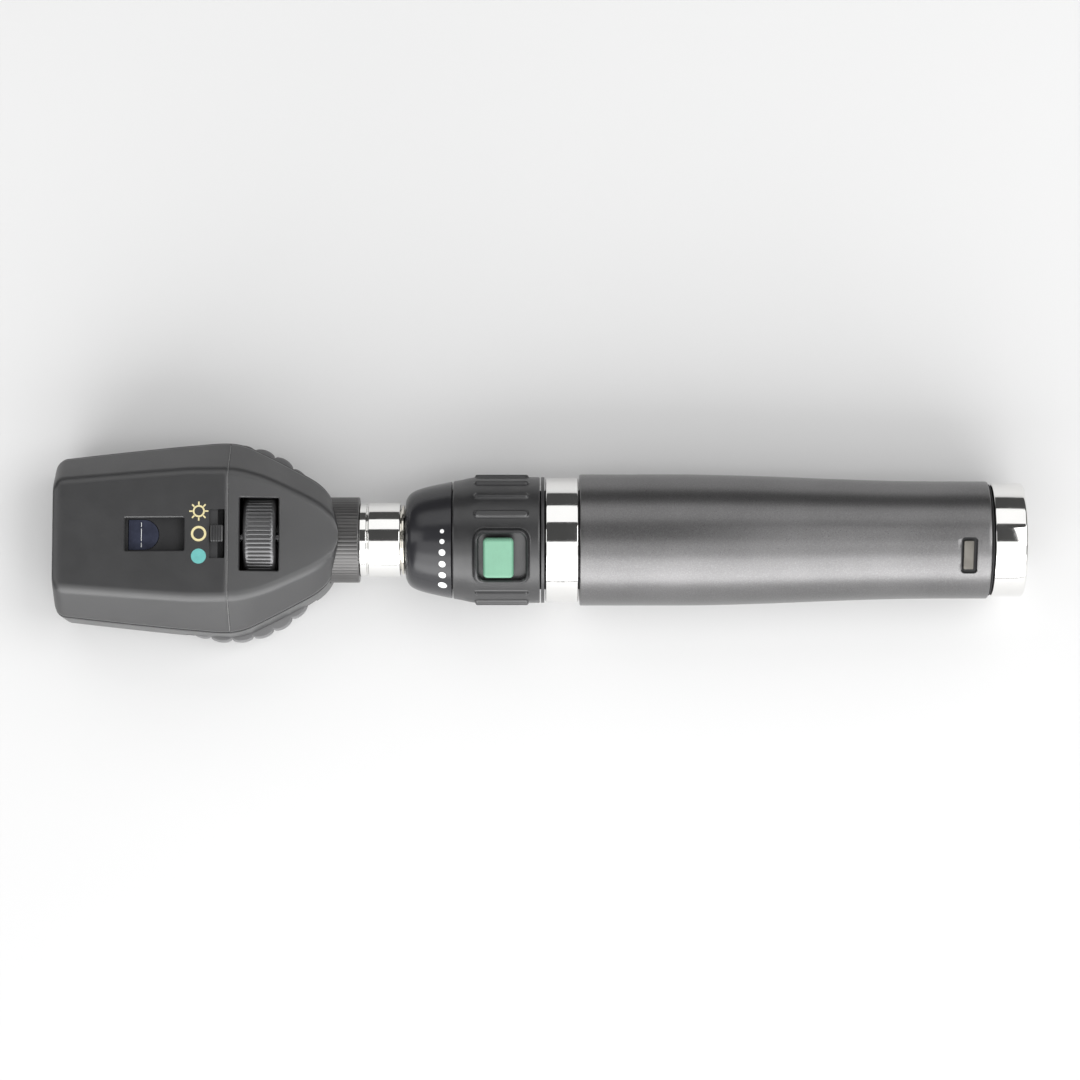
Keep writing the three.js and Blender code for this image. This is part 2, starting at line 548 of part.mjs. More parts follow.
// The ribbed ring that sets the brightness, with a sunk pad for its lock button.
const PAD = { x0: 17.2, x1: 30.9, half: 6.8, r: 16.5 };
const RECESS = { x0: 18.6, x1: 29.9, half: 5.8, floor: 13.3 };
function controlRing() {
  const ring = turned([
    [12.4, 13], [12.4, 14.3], [14.4, 14.9], [17, 15.25], [33.3, 15.25], [33.3, 12.3], [17.4, 12.3], [17.4, 14],
    [13, 14], [13, 13],
  ], 36);
  const rib = box([17.7, 31], [-1.15, 1.15], [14, 15.9]);
  const ribs = Array.from({ length: 360 / RIB_STEP }, (_, k) => k * RIB_STEP)
    .filter((angle) => Math.min(angle, 360 - angle) > 1.5 * RIB_STEP)
    .map((angle) => aboutAxis(rib, angle));
  const pad = box([PAD.x0, PAD.x1], [-PAD.half, PAD.half], [12, 18]).intersect(tube(0, 40, 13, PAD.r, 36));
  const recess = box([RECESS.x0, RECESS.x1], [-RECESS.half, RECESS.half], [RECESS.floor, 18]);
  const stemHole = upright(23.4, 0, [10, 18], 2.2, 12);
  const body = joined([ring, ...ribs, pad]).subtract(recess).subtract(stemHole);
  return aboutAxis(body, FRONT_ANGLE);
}
function lockButton() {
  const cap = box([19.7, 27.1], [-5.1, 5.1], [15.1, 16.3]);
  const skirt = box([20, 26.8], [-4.8, 4.8], [14.5, 15.2]);
  const stem = upright(23.4, 0, [13.2, 14.6], 1.6, 12);
  return aboutAxis(joined([cap, skirt, stem]), FRONT_ANGLE);
}
// A leaf spring round the button's stem, with a raised bow at each end.
function buttonSpring() {
  const leaf = box([20.6, 26.2], [-3.6, 3.6], [13.5, 13.7]).subtract(upright(23.4, 0, [13, 14], 2.3, 12));
  const bows = [-1, 1].map((side) => box([20.6, 26.2], [side * 3.3 - 0.3, side * 3.3 + 0.3], [13.5, 14.3]));
  return aboutAxis(joined([leaf, ...bows]), FRONT_ANGLE);
}

const gripRing = () => tube(33.6, 34.4, 12.3, 15.25, 36);
const frontBand = () =>
  turned([[34.7, 12.3], [34.7, 14.8], [35, 15.1], [42.3, 15.1], [42.6, 14.8], [42.6, 12.3]], 36);

// Outer radius of the grip: straight, then waisted in to the tail.
const gripRadius = (x) => lerp(TUBE_R, TAIL_R, THREE.MathUtils.smoothstep(x, 93, 128));
function handleTube() {
  const stations = [93, 98, 103, 108, 113, 118, 123, 128];
  const outer = [[TUBE_START + 0.3, TUBE_R], ...stations.map((x) => [x, gripRadius(x)])];
  outer.push([TUBE_END - 0.3, TAIL_R], [TUBE_END, TAIL_R - 0.3]);
  const shell = turned([[TUBE_START, BORE_R], [TUBE_START, TUBE_R - 0.3], ...outer, [TUBE_END, BORE_R]], 36);
  const slot = box([134.4, 137.9], [-4.3, 4.3], [13.2, 18]);
  return shell.subtract(aboutAxis(slot, FRONT_ANGLE));
}
const sideContact = () => aboutAxis(box([134.8, 137.5], [-3.7, 3.7], [13.5, 13.9]), FRONT_ANGLE);

const battery = () => turned([[46, 0], [46, 11.4], [46.6, 11.9], [131.4, 11.9], [132, 11.4], [132, 0]], 32);
const batteryTerminal = () => rod(43.2, 45.7, 3.2, 16);

// The tail: a seal, a chromed cap with a threaded spigot, its insert and the charging stud.
const tailSeal = () => tube(141.75, 142.15, BORE_R + 0.1, 13.5, 32);
function tailCap() {
  return turned([
    [136, 10.2], [136, 12], [142.3, 12], [142.45, 13.6], [142.6, 13.75], [149.7, 13.75],
    [HANDLE_END, 13.3], [HANDLE_END, 11.6], [146.4, 11.6], [146.4, 6], [143.4, 6], [143.4, 10.2],
  ], 36);
}
const tailInsert = () => turned([[146.7, 3], [146.7, 11.3], [149.6, 11.3], [149.6, 3.2]], 32);
const chargeStud = () => turned([[141.5, 0], [141.5, 4.5], [142.6, 4.5], [142.6, 2.7], [149.3, 2.7], [149.3, 0]], 16);
const batterySpring = () => coil({ x0: 132.6, x1: 140.8, r0: 7.5, r1: 3.8, wire: 0.5, turns: 3.5, sides: 4 });

// ================================================================ assembly
add("front_cover_upper", "shell", frontCoverUpper());
add("front_cover_lower", "shell", frontCoverLower());
add("rear_shell", "shell", rearShell());
add("brow_rest", "rubber", browRest());
add("shell_screw_left", "steel", screw(-1));
add("shell_screw_right", "steel", screw(1));
add("window_frame", "blackSatin", windowFrame());
add("window_glass", "blueGlass", windowGlass());
add("eyepiece_glass", "glass", upright(headX(VIEW_U), 0, [-12.5, -12], 1.9));
add("readout_window", "glass", headBox([27.9, 32.1], [-3.1, 3.1], [-12.6, -12.1]));
add("filter_switch", "blackSatin", filterSwitch());
add("red_free_filter", "green", filterDisc(1));
add("polarising_filter", "glass", filterDisc(-1));
add("aperture_dial", "steel", apertureDial());
add("aperture_disc", "steel", apertureDisc());
add("aperture_axle", "steel", drumAxle());
add("lens_wheel", "blackSatin", lensWheel());
add("lens_set", "glass", lensSet());
add("lens_wheel_axle", "steel", wheelAxle());
add("detent_spring", "steel", detentSpring());
add("optics_chassis", "blackSatin", opticsChassis());
add("condenser_lens", "glass", lens(20.4, 23.4, 4.7));
add("projection_lens", "glass", lens(47, 50, 2.3));
add("mirror", "mirror", mirror());
add("bayonet_socket", "chrome", bayonetSocket());
add("neck_collar", "collar", neckCollar());
add("lamp_base", "nickel", lampBase());
add("lamp_insulator", "blackSatin", lampInsulator());
add("lamp_contact", "brass", lampContact());
add("lamp_bulb", "glass", lampBulb());

add("bayonet_post", "nickel", bayonetPost());
add("post_washer", "nickel", postWasher());
add("contact_insulator", "blackSatin", contactInsulator());
add("contact_pin", "brass", contactPin());
add("contact_spring", "steel", contactSpring());
add("centre_conductor", "brass", centreConductor());
add("nose_cone", "blackGloss", noseCone());
add("core_sleeve", "blackSatin", coreSleeve());
add("rheostat_track", "board", rheostatTrack());
add("rheostat_wiper", "brass", rheostatWiper());
add("control_ring", "blackSatin", controlRing());
add("lock_button", "green", lockButton());
add("button_spring", "steel", buttonSpring());
add("grip_ring", "blackSatin", gripRing());
add("front_band", "chrome", frontBand());
add("handle_tube", "anodised", handleTube());
add("side_contact", "nickel", sideContact());
add("battery", "wrap", battery());
add("battery_terminal", "nickel", batteryTerminal());
add("tail_seal", "rubber", tailSeal());
add("tail_cap", "chrome", tailCap());
add("tail_insert", "blackSatin", tailInsert());
add("charge_stud", "brass", chargeStud());
add("battery_spring", "steel", batterySpring());

// The origin is under the middle of the instrument, on the table that it lies on.
instrument.position.set((GAP + HEAD_LENGTH - HANDLE_END) / 2, 0, TUBE_R);

export default instrument;
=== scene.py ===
"""A coaxial ophthalmoscope lying on a pale table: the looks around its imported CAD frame.

Shapes are drawn in millimetres in the instrument's own terms. x runs along its axis from the shoulder that
the head seats on, the handle to +x and the head to -x; y runs across and z up from the axis. A place along
the head is u, measured from the mouth of its socket. An angle about the axis starts at +z and grows
towards -y. piece() puts a shape into the frame, in metres."""

import math

import bmesh
import bpy
from mathutils import Matrix, Vector


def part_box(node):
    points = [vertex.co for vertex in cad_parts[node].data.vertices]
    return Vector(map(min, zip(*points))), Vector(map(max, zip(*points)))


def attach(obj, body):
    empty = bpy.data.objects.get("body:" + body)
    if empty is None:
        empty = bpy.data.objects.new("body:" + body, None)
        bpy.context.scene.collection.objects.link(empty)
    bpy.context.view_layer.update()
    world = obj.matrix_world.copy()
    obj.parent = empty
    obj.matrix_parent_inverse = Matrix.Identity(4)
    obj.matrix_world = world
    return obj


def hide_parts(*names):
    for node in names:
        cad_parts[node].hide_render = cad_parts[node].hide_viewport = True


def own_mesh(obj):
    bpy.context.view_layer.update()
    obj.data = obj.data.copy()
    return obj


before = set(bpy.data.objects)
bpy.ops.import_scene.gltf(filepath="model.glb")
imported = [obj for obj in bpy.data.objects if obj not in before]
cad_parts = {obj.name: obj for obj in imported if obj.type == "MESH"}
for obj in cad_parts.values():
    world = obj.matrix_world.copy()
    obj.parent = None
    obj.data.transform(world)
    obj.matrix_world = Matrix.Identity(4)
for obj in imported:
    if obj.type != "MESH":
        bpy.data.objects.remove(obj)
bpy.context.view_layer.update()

MM = 0.001
GAP = 0.3
FRONT_ANGLE = 22  # degrees to the lock button and the charge slot
AXIS_HEIGHT = sum(corner.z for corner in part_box("handle_tube")) / 2
ORIGIN = Vector((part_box("post_washer")[0].x, 0, AXIS_HEIGHT))


def span(node, axis=0):
    """The lowest and highest value of a CAD node along one axis, in the instrument's millimetres."""
    return [(corner[axis] - ORIGIN[axis]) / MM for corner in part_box(node)]


def along_head(node):
    """Where a CAD node starts and ends along the head, as u."""
    low, high = span(node)
    return -GAP - high, -GAP - low


# ---------------- sizes of the head
HEAD_END = along_head("rear_shell")[1]
NECK_U = along_head("rear_shell")[0]
SEAM_U = along_head("front_cover_upper")[0] - GAP / 2
PARTING_H = span("rear_shell", 2)[1] + GAP / 2
BACK_H = -span("rear_shell", 2)[0]
COLLAR_RUN_ON = 6.5  # how far the collar goes on under the chin, past the end of its CAD node
COLLAR_END = 14.5 + COLLAR_RUN_ON
COLLAR_SEAT = 10.55  # radius of the shells' bore round the collar
NECK_BORE = 8.9  # radius of the collar's own bore, which the lamp stands in
WALL = 1.6
TOP_CORNER = 3.0
CREASE_ROUND = 3.4  # roundings of a cross-section: front crease, front flank and back edge
FLANK_ROUND = 7
BACK_ROUND = 3.6
UPPER_SLOPE = 0.05  # fall of the front covers away from the seam, along the head
LOWER_SLOPE = -0.14
CREASE_H = span("front_cover_upper", 2)[1] + 0.01
CHIN = [  # half width near the collar, which the shells meet in a broad round chin
    (14.8, 1.2), (14.95, 3.4), (15.3, 5.4), (15.9, 7.6), (16.8, 9.7), (17.8, 11.3), (19, 12.6), (21, 14.1),
    (23.5, 15.5), (26.5, 17.1), (30.5, 19.2), (36, 21.9),
]
OUTLINE = [(30.5, 18.9), (36, 21.9), (41, 23.1), (50, 22.6), (66, 21), (80.2, 19.4)]  # from where CHIN ends
# half width of the flat front, and depth of the back below the axis
PLATEAU = [(14.8, 4.5), (20, 8), (26, 11), (32, 13.6), (38, 15.2), (42, 15.5), (83.2, 15.7)]
BACK = [(14.8, 10.8), (19, 12.5), (26, BACK_H), (80.2, BACK_H)]
POCKET = (28.9, 38.2, 8.8)  # of the aperture dial: from, to, half width
SEAM_GAP = 0.24
SLOT = (41.7, 45.4, 5.9)  # of the filter switch
SLOT_SHELF_U = 43.4  # where the slot's shallow part starts
SLOT_SHELF_DEPTH = 0.7
WINDOW = (51.4, 65.7, 4.0)
PANE_HALF = 3.6
VIEW_U = 60  # of the hole that the user looks through
READOUT_CORNER = 0.6
FRONT_STEP = 0.35  # how far the front covers stand in from the rear shell
EDGE = 0.22  # the small chamfer on moulded edges
WHEEL_U = sum(along_head("lens_wheel")) / 2
MARKS_U = 47.9  # of the three marks beside the filter switch, and the distance between them
MARK_STEP = 5.4
MARK_SINK, MARK_LIFT = -0.25, 0.05  # bottom and top of a printed mark, from the surface


# ---------------- plain geometry
def curve_through(pairs, at):
    """A smooth curve through (at, value) pairs, flat outside its ends."""
    if at <= pairs[0][0]:
        return pairs[0][1]
    last = len(pairs) - 1
    if at >= pairs[last][0]:
        return pairs[last][1]
    i = max(k for k in range(last) if pairs[k][0] <= at)

    def slope(k):
        a, b = pairs[max(k - 1, 0)], pairs[min(k + 1, last)]
        return (b[1] - a[1]) / (b[0] - a[0])

    (x0, y0), (x1, y1) = pairs[i], pairs[i + 1]
    width = x1 - x0
    t = (at - x0) / width
    rise = (2 * t**3 - 3 * t**2 + 1) * y0 + (-2 * t**3 + 3 * t**2) * y1
    return rise + (t**3 - 2 * t**2 + t) * slope(i) * width + (t**3 - t**2) * slope(i + 1) * width


def smoothstep(value, low, high):
    """Eases from 0 at low to 1 at high."""
    t = min(max((value - low) / (high - low), 0.0), 1.0)
    return t * t * (3 - 2 * t)


def lerp(a, b, t):
    return a + (b - a) * t


def spaced(low, high, step):
    """Evenly spaced values from low to high, at most a step apart."""
    count = max(1, math.ceil((high - low) / step))
    return [lerp(low, high, i / count) for i in range(count + 1)]


def rounded(points, radius, closed=True, arc=5):
    """Rounds the corners of an outline. A point may carry a radius of its own as a third value."""
    out = []
    count = len(points)
    for i, point in enumerate(points):
        corner = Vector(point[:2])
        r = point[2] if len(point) > 2 else radius
        if r == 0 or (not closed and i in (0, count - 1)):
            out.append(tuple(corner))
            continue
        a = Vector(points[i - 1][:2]) - corner
        b = Vector(points[(i + 1) % count][:2]) - corner
        half = a.angle(b) / 2
        cut = min(r / math.tan(half), 0.48 * a.length, 0.48 * b.length)
        r = cut * math.tan(half)
        centre = corner + (a.normalized() + b.normalized()).normalized() * (r / math.sin(half))
        start = corner + a.normalized() * cut - centre
        end = corner + b.normalized() * cut - centre
        sweep = math.atan2(start.x * end.y - start.y * end.x, start.dot(end))
        for k in range(arc + 1):
            angle = sweep * k / arc
            turned = (
                start.x * math.cos(angle) - start.y * math.sin(angle),
                start.x * math.sin(angle) + start.y * math.cos(angle),
            )
            out.append((centre.x + turned[0], centre.y + turned[1]))
    return out


def spline(points, per_span=6):
    """Points on a smooth path through the given 2-D points."""
    out = []
    last = len(points) - 1
    for i in range(last):
        p0, p1 = Vector(points[max(i - 1, 0)]), Vector(points[i])
        p2, p3 = Vector(points[i + 1]), Vector(points[min(i + 2, last)])
        for k in range(per_span):
            t = k / per_span
            q = 0.5 * (
                2 * p1 + (p2 - p0) * t + (2 * p0 - 5 * p1 + 4 * p2 - p3) * t**2
                + (3 * p1 - p0 - 3 * p2 + p3) * t**3
            )
            out.append(tuple(q))
    return out + [tuple(points[last])]


def box_distance(x, y, half_x, half_y, corner):
    """Signed distance from a point to a rectangle with round corners: negative inside."""
    dx, dy = abs(x) - half_x + corner, abs(y) - half_y + corner
    outside = math.hypot(max(dx, 0), max(dy, 0))
    return outside + min(max(dx, dy), 0) - corner


# ---------------- shapes, as bmeshes in millimetres
def shape(verts, faces):
    made = bmesh.new()
    placed = [made.verts.new(v) for v in verts]
    for face in faces:
        made.faces.new([placed[i] for i in face])
    bmesh.ops.recalc_face_normals(made, faces=made.faces)
    return made


def about_axis(x, r, angle):
    """The point at a radius and an angle, in radians, about the instrument's axis."""
    return x, -r * math.sin(angle), r * math.cos(angle)


def lathe(outline, steps=160):
    """A solid of revolution about the axis, from a closed outline of (x, radius) points."""
    verts, rings = [], []
    for x, r in [p[:2] for p in outline]:
        if r < 1e-6:
            rings.append([len(verts)] * steps)
            verts.append((x, 0, 0))
        else:
            rings.append(list(range(len(verts), len(verts) + steps)))
            verts += [about_axis(x, r, 2 * math.pi * k / steps) for k in range(steps)]
    faces = []
    for i, ring in enumerate(rings):
        after = rings[(i + 1) % len(rings)]
        for k in range(steps):
            j = (k + 1) % steps
            face = list(dict.fromkeys([ring[k], ring[j], after[j], after[k]]))
            if len(face) > 2:
                faces.append(face)
    return shape(verts, faces)


def loft(rings, closed=False):
    """A solid through rings of points: capped at both ends, or closed on itself."""
    count = len(rings[0])
    verts = [p for ring in rings for p in ring]
    faces = []
    for i in range(len(rings) - (0 if closed else 1)):
        a, b = i * count, ((i + 1) % len(rings)) * count
        faces += [(a + k, a + (k + 1) % count, b + (k + 1) % count, b + k) for k in range(count)]
    if not closed:
        faces.append(tuple(range(count)))
        faces.append(tuple(range(len(verts) - count, len(verts))))
    return shape(verts, faces)


def relief(xs, steps, outer, inner):
    """A ring about the axis whose outer radius varies with x and the angle, round a plain bore."""
    angles = [2 * math.pi * k / steps for k in range(steps)]
    rings = [[about_axis(x, outer(x, a), a) for a in angles] for x in xs]
    rings += [[about_axis(x, inner, a) for a in angles] for x in (xs[-1], xs[0])]
    return loft(rings, closed=True)


def slab(outline, z_low, z_high):
    """A flat outline in x and y, raised from one height to another."""
    return loft([[(x, y, z) for x, y in outline] for z in (z_low, z_high)])


def oblong(x_span, y_span, corner, arc=5):
    (x0, x1), (y0, y1) = sorted(x_span), sorted(y_span)
    return rounded([(x0, y0), (x1, y0), (x1, y1), (x0, y1)], corner, arc=arc)


def drawn_in(x_span, y_span, corner, least=0.05):
    """An oblong outline as a function of how far it is drawn in."""
    (x0, x1), (y0, y1) = x_span, y_span

    def outline(d):
        return oblong((x0 + d, x1 - d), (y0 + d, y1 - d), max(corner - d, least))

    return outline


def disc(x, y, radius, steps=32):
    angles = [2 * math.pi * k / steps for k in range(steps)]
    return [(x + radius * math.cos(a), y + radius * math.sin(a)) for a in angles]


def cushion(outline_at, z_low, z_high, edge, layers=6, both=True):
    """A slab whose top edge, and bottom edge if both, rolls over. outline_at(inset) gives its outline."""
    steps = [math.pi / 2 * k / layers for k in range(layers + 1)]
    low = [(edge * (1 - math.sin(a)), z_low + edge * (1 - math.cos(a))) for a in steps]
    low.sort(key=lambda pair: pair[1])
    high = [(inset, z_high - (z - z_low)) for inset, z in reversed(low)]
    levels = (low if both else [(0, z_low)]) + high
    return loft([[(x, y, z) for x, y in outline_at(inset)] for inset, z in levels])


def combine(*shapes):
    """Several closed shapes in one."""
    whole = shapes[0]
    for other in shapes[1:]:
        spare = bpy.data.meshes.new("spare")
        other.to_mesh(spare)
        whole.from_mesh(spare)
        bpy.data.meshes.remove(spare)
        other.free()
    return whole


def moved(made, y=0.0, z=0.0):
    bmesh.ops.translate(made, verts=made.verts, vec=(0, y, z))
    return made


def turned(made, degrees):
    """The shape turned about the instrument's axis."""
    turn = Matrix.Rotation(math.radians(degrees), 3, "X")
    bmesh.ops.rotate(made, verts=made.verts, cent=(0, 0, 0), matrix=turn)
    return made


def flipped(made):
    """The shape mirrored top to bottom."""
    bmesh.ops.scale(made, verts=made.verts, vec=(1, 1, -1))
    bmesh.ops.reverse_faces(made, faces=made.faces)
    return made


def added(name, data):
    """A new object in the scene."""
    thing = bpy.data.objects.new(name, data)
    bpy.context.scene.collection.objects.link(thing)
    return thing


def object_of(name, made):
    """An object, in metres in the frame, from a shape in the instrument's millimetres."""
    mesh = bpy.data.meshes.new(name)
    made.to_mesh(mesh)
    made.free()
    mesh.transform(Matrix.Translation(ORIGIN) @ Matrix.Scale(MM, 4))
    return added(name, mesh)


def settle(thing):
    """Applies an object's modifiers to its mesh."""
    graph = bpy.context.evaluated_depsgraph_get()
    mesh = bpy.data.meshes.new_from_object(thing.evaluated_get(graph))
    thing.modifiers.clear()
    old, thing.data = thing.data, mesh
    bpy.data.meshes.remove(old)


def carve(thing, *cutters, operation="DIFFERENCE"):
    """Cuts shapes out of an object, or joins them to it."""
    for made in cutters:
        cutter = object_of("cutter", made)
        step = thing.modifiers.new("carve", "BOOLEAN")
        step.object, step.operation, step.solver = cutter, operation, "EXACT"
        settle(thing)
        bpy.data.objects.remove(cutter)


def soften(thing, width, degrees):
    """Rounds the edges that turn by more than an angle."""
    step = thing.modifiers.new("soften", "BEVEL")
    step.width, step.segments, step.angle_limit = width * MM, 2, math.radians(degrees)
    step.limit_method = "ANGLE"
    settle(thing)


def finish(thing, body, slot, look, nodes=(), sharp=30, weighted=False):
    """Gives a piece its body, material and smooth shading; the slot argument is not used. Edges over sharp
    degrees stay hard.
    """
    for face in thing.data.polygons:
        face.use_smooth = True
    thing.data.set_sharp_from_angle(angle=math.radians(sharp))
    if weighted:
        step = thing.modifiers.new("normals", "WEIGHTED_NORMAL")
        step.keep_sharp = True
    thing.data.materials.clear()
    thing.data.materials.append(look)
    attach(thing, body)
    if nodes:
        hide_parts(*nodes)
    return thing


def piece(name, made, body, slot, look, nodes=(), **shading):
    """Puts a shape into the frame as a visible piece, in the place of the given CAD nodes."""
    return finish(object_of(name, made), body, slot, look, nodes, **shading)


# ---------------- materials
def scaled(color, factor):
    return tuple(c * factor for c in color)


class Looks:
    """Builds one node material at a time."""

    def __init__(self, name):
        self.material = bpy.data.materials.new(name)
        self.material.use_nodes = True
        self.tree = self.material.node_tree
        self.shader = self.tree.nodes["Principled BSDF"]
        self.place = self.node("ShaderNodeTexCoord").outputs["Object"]

    def node(self, kind, **values):
        made = self.tree.nodes.new(kind)
        for key, value in values.items():
            if hasattr(made, key):
                setattr(made, key, value)
            else:
                made.inputs[key.replace("_", " ")].default_value = value
        return made

    def link(self, source, target):
        self.tree.links.new(source, target)

    def feed(self, source, socket):
        self.link(source, self.shader.inputs[socket])

    def fix(self, **sockets):
        for key, value in sockets.items():
            self.shader.inputs[key.replace("_", " ")].default_value = value

    def noise(self, size, detail=2.0, stretch=(1, 1, 1)):
        """Noise with features about size millimetres across, drawn out along each axis by stretch."""
        squeeze = self.node("ShaderNodeMapping")
        squeeze.inputs["Scale"].default_value = [1 / (s * size * MM) for s in stretch]
        self.link(self.place, squeeze.inputs["Vector"])
        made = self.node("ShaderNodeTexNoise", Scale=1.0, Detail=detail, Roughness=0.55)
        self.link(squeeze.outputs["Vector"], made.inputs["Vector"])
        return made.outputs["Fac"]

    def ranged(self, source, low, high, start=0.3, end=0.7):
        made = self.node("ShaderNodeMapRange")
        for key, value in (("From Min", start), ("From Max", end), ("To Min", low), ("To Max", high)):
            made.inputs[key].default_value = value
        self.link(source, made.inputs["Value"])
        return made.outputs["Result"]

    def mixed(self, factor, first, second):
        made = self.node("ShaderNodeMix", data_type="RGBA")
        for socket, value in ((made.inputs[6], first), (made.inputs[7], second)):
            if isinstance(value, bpy.types.NodeSocket):
                self.link(value, socket)
            else:
                socket.default_value = (*value, 1)
        self.link(factor, made.inputs[0])
        return made.outputs[2]

    def clouded(self, source, color, low, high):
        """A colour that varies between two multiples of itself."""
        return self.mixed(self.ranged(source, 0, 1), scaled(color, low), scaled(color, high))

    def bump(self, source, depth, strength=1.0):
        """Gives the surface relief of about depth millimetres."""
        made = self.node("ShaderNodeBump", Strength=strength, Distance=depth * MM)
        self.link(source, made.inputs["Height"])
        self.feed(made.outputs["Normal"], "Normal")


def surface(name, color, roughness, metallic=0.0, grain=None, mottle=0.12, patch=14.0, scuff=0.06,
            stretch=(1, 1, 1), edge_wear_and_highlight=0.0, **sockets):
    """A solid material: fine grain (size, depth), clouds of colour and roughness about patch millimetres
    across, and paler edges that are partly wear and partly a painted highlight."""
    look = Looks(name)
    shade = look.clouded(look.noise(patch, 4.0), color, 1 - mottle, 1 + mottle)
    if edge_wear_and_highlight:
        # convex edges turn up to three times paler: partly wear, partly a painted edge highlight
        edges = look.node("ShaderNodeNewGeometry").outputs["Pointiness"]
        wear_and_highlight = look.ranged(edges, 0, edge_wear_and_highlight, 0.51, 0.57)
        shade = look.mixed(wear_and_highlight, shade, scaled(color, 3.0))
    look.feed(shade, "Base Color")
    rough = look.ranged(look.noise(patch * 0.4, 5.0, stretch), roughness - scuff, roughness + scuff)
    look.feed(rough, "Roughness")
    look.fix(Metallic=metallic, **sockets)
    if grain:
        size, depth = grain
        look.bump(look.noise(size, 2.0, stretch), depth)
    return look.material


def anodised(name, color):
    """Bead-blasted and dyed aluminium: a fine sparkle over a soft sheen."""
    look = Looks(name)
    fine = look.noise(0.16, 2.0)
    coarse = look.noise(0.34, 2.0)
    base = look.clouded(look.noise(18, 3.0), color, 0.92, 1.08)
    speck = look.mixed(look.ranged(coarse, 0, 0.4, 0.45, 0.75), base, scaled(color, 1.6))
    look.feed(speck, "Base Color")
    look.feed(look.ranged(fine, 0.27, 0.35), "Roughness")
    look.fix(Metallic=0.88)
    look.bump(fine, 0.012, 0.4)
    return look.material


def plated(name, color, roughness=0.07, turning=0.004):
    """Polished plate with faint turning marks round the part and a few soft smudges."""
    look = Looks(name)
    marks = look.noise(0.12, 1.0, (1, 60, 60))
    smudge = look.noise(5.0, 5.0)
    look.feed(look.clouded(smudge, color, 0.97, 1), "Base Color")
    look.feed(look.ranged(smudge, roughness * 0.7, roughness * 1.6), "Roughness")
    look.fix(Metallic=1.0)
    look.bump(marks, turning, 0.6)
    return look.material


def clear(name, color):
    """Glass with a little dust on it."""
    look = Looks(name)
    dust = look.noise(1.2, 4.0)
    look.feed(look.ranged(dust, 0.02, 0.07, 0.5, 0.8), "Roughness")
    look.feed(look.clouded(look.noise(6.0), color, 0.93, 1), "Base Color")
    look.fix(Transmission_Weight=1.0, IOR=1.5)
    return look.material


SHELL = surface("charcoal_plastic", (0.031, 0.031, 0.032), 0.36, grain=(0.16, 0.008), mottle=0.03, scuff=0.03,
                Specular_IOR_Level=0.85)
BLACK = surface("black_plastic", (0.016, 0.016, 0.017), 0.36, grain=(0.2, 0.008), mottle=0.1, edge_wear_and_highlight=0.4,
                Specular_IOR_Level=0.85)
MATT = surface("matt_black_plastic", (0.012, 0.012, 0.013), 0.7, grain=(0.25, 0.02))
GLOSS = surface("gloss_black", (0.022, 0.022, 0.025), 0.22, grain=(0.5, 0.004), mottle=0.05, scuff=0.04)
# pale grey for the line where the front covers meet: a painted highlight
SEAM_HIGHLIGHT = surface("painted_seam_highlight", (0.16, 0.16, 0.16), 0.28, mottle=0.15, patch=9)
WHEEL_GREY = surface("wheel_grey", (0.15, 0.15, 0.152), 0.34, grain=(0.2, 0.006), mottle=0.06)
RUBBER = surface("black_rubber", (0.018, 0.018, 0.019), 0.72, grain=(0.3, 0.03), mottle=0.15)
DIAL = surface("dark_dial_metal", (0.13, 0.13, 0.132), 0.32, 0.85, grain=(0.2, 0.006), edge_wear_and_highlight=0.4)
COLLAR = surface("collar_metal", (0.11, 0.108, 0.107), 0.36, 0.8, grain=(0.2, 0.01), edge_wear_and_highlight=0.4)
GREEN = surface("green_plastic", (0.155, 0.345, 0.235), 0.35, grain=(0.3, 0.006), mottle=0.05, patch=5)
# white ink for the cone's dots; also used for the painted highlight on the window glass
WHITE = surface("white_ink_and_painted_highlight", (0.85, 0.86, 0.86), 0.5, grain=(0.2, 0.01), mottle=0.03, patch=1)
CREAM = surface("cream_ink", (0.68, 0.60, 0.33), 0.5, grain=(0.2, 0.01), mottle=0.06, patch=1)
TEAL = surface("teal_ink", (0.13, 0.42, 0.40), 0.45, grain=(0.2, 0.01), mottle=0.06, patch=1)
TURNED = {"metallic": 1.0, "grain": (0.1, 0.004), "stretch": (1, 8, 8)}
STEEL = surface("bright_steel", (0.5, 0.5, 0.51), 0.25, mottle=0.05, **TURNED)
BRASS = surface("turned_brass", (0.62, 0.44, 0.18), 0.24, mottle=0.08, **TURNED)
BOARD = surface("track_board", (0.02, 0.1, 0.04), 0.5, grain=(0.3, 0.01))
WRAP = surface("battery_wrap", (0.03, 0.08, 0.26), 0.35, grain=(0.4, 0.01))
GRIP = anodised("anodised_grip", (0.166, 0.164, 0.165))
CHROME = plated("chrome", (0.86, 0.855, 0.84), turning=0.001)
NICKEL = plated("nickel", (0.80, 0.765, 0.69), 0.14, 0.006)
SATIN = plated("satin_nickel", (0.14, 0.133, 0.12), 0.45, 0.004)
MIRROR = plated("silvered_mirror", (0.93, 0.93, 0.94), 0.03, 0.0)
GLASS = clear("clear_glass", (0.93, 0.96, 0.97))
FILTER_GREEN = clear("green_filter", (0.1, 0.55, 0.42))
COATED = surface("coated_glass", (0.034, 0.038, 0.06), 0.08, mottle=0.25, patch=2.5, scuff=0.03,
                 Coat_Weight=0.6)


# ---------------- the head's shells
def front_height(u):
    """Height of the head's flat front, which is highest at the seam."""
    slope = UPPER_SLOPE if u > SEAM_U else LOWER_SLOPE
    return CREASE_H - slope * (u - SEAM_U)


def roll(distance, radius):
    """How far a rounded end has drawn in, at a distance from where it starts to roll."""
    into = min(max(distance, 0) / radius, 1)
    return radius * (1 - math.sqrt(1 - into**2))


def both_sides(half):
    return half + [(-across, up) for across, up in reversed(half)]


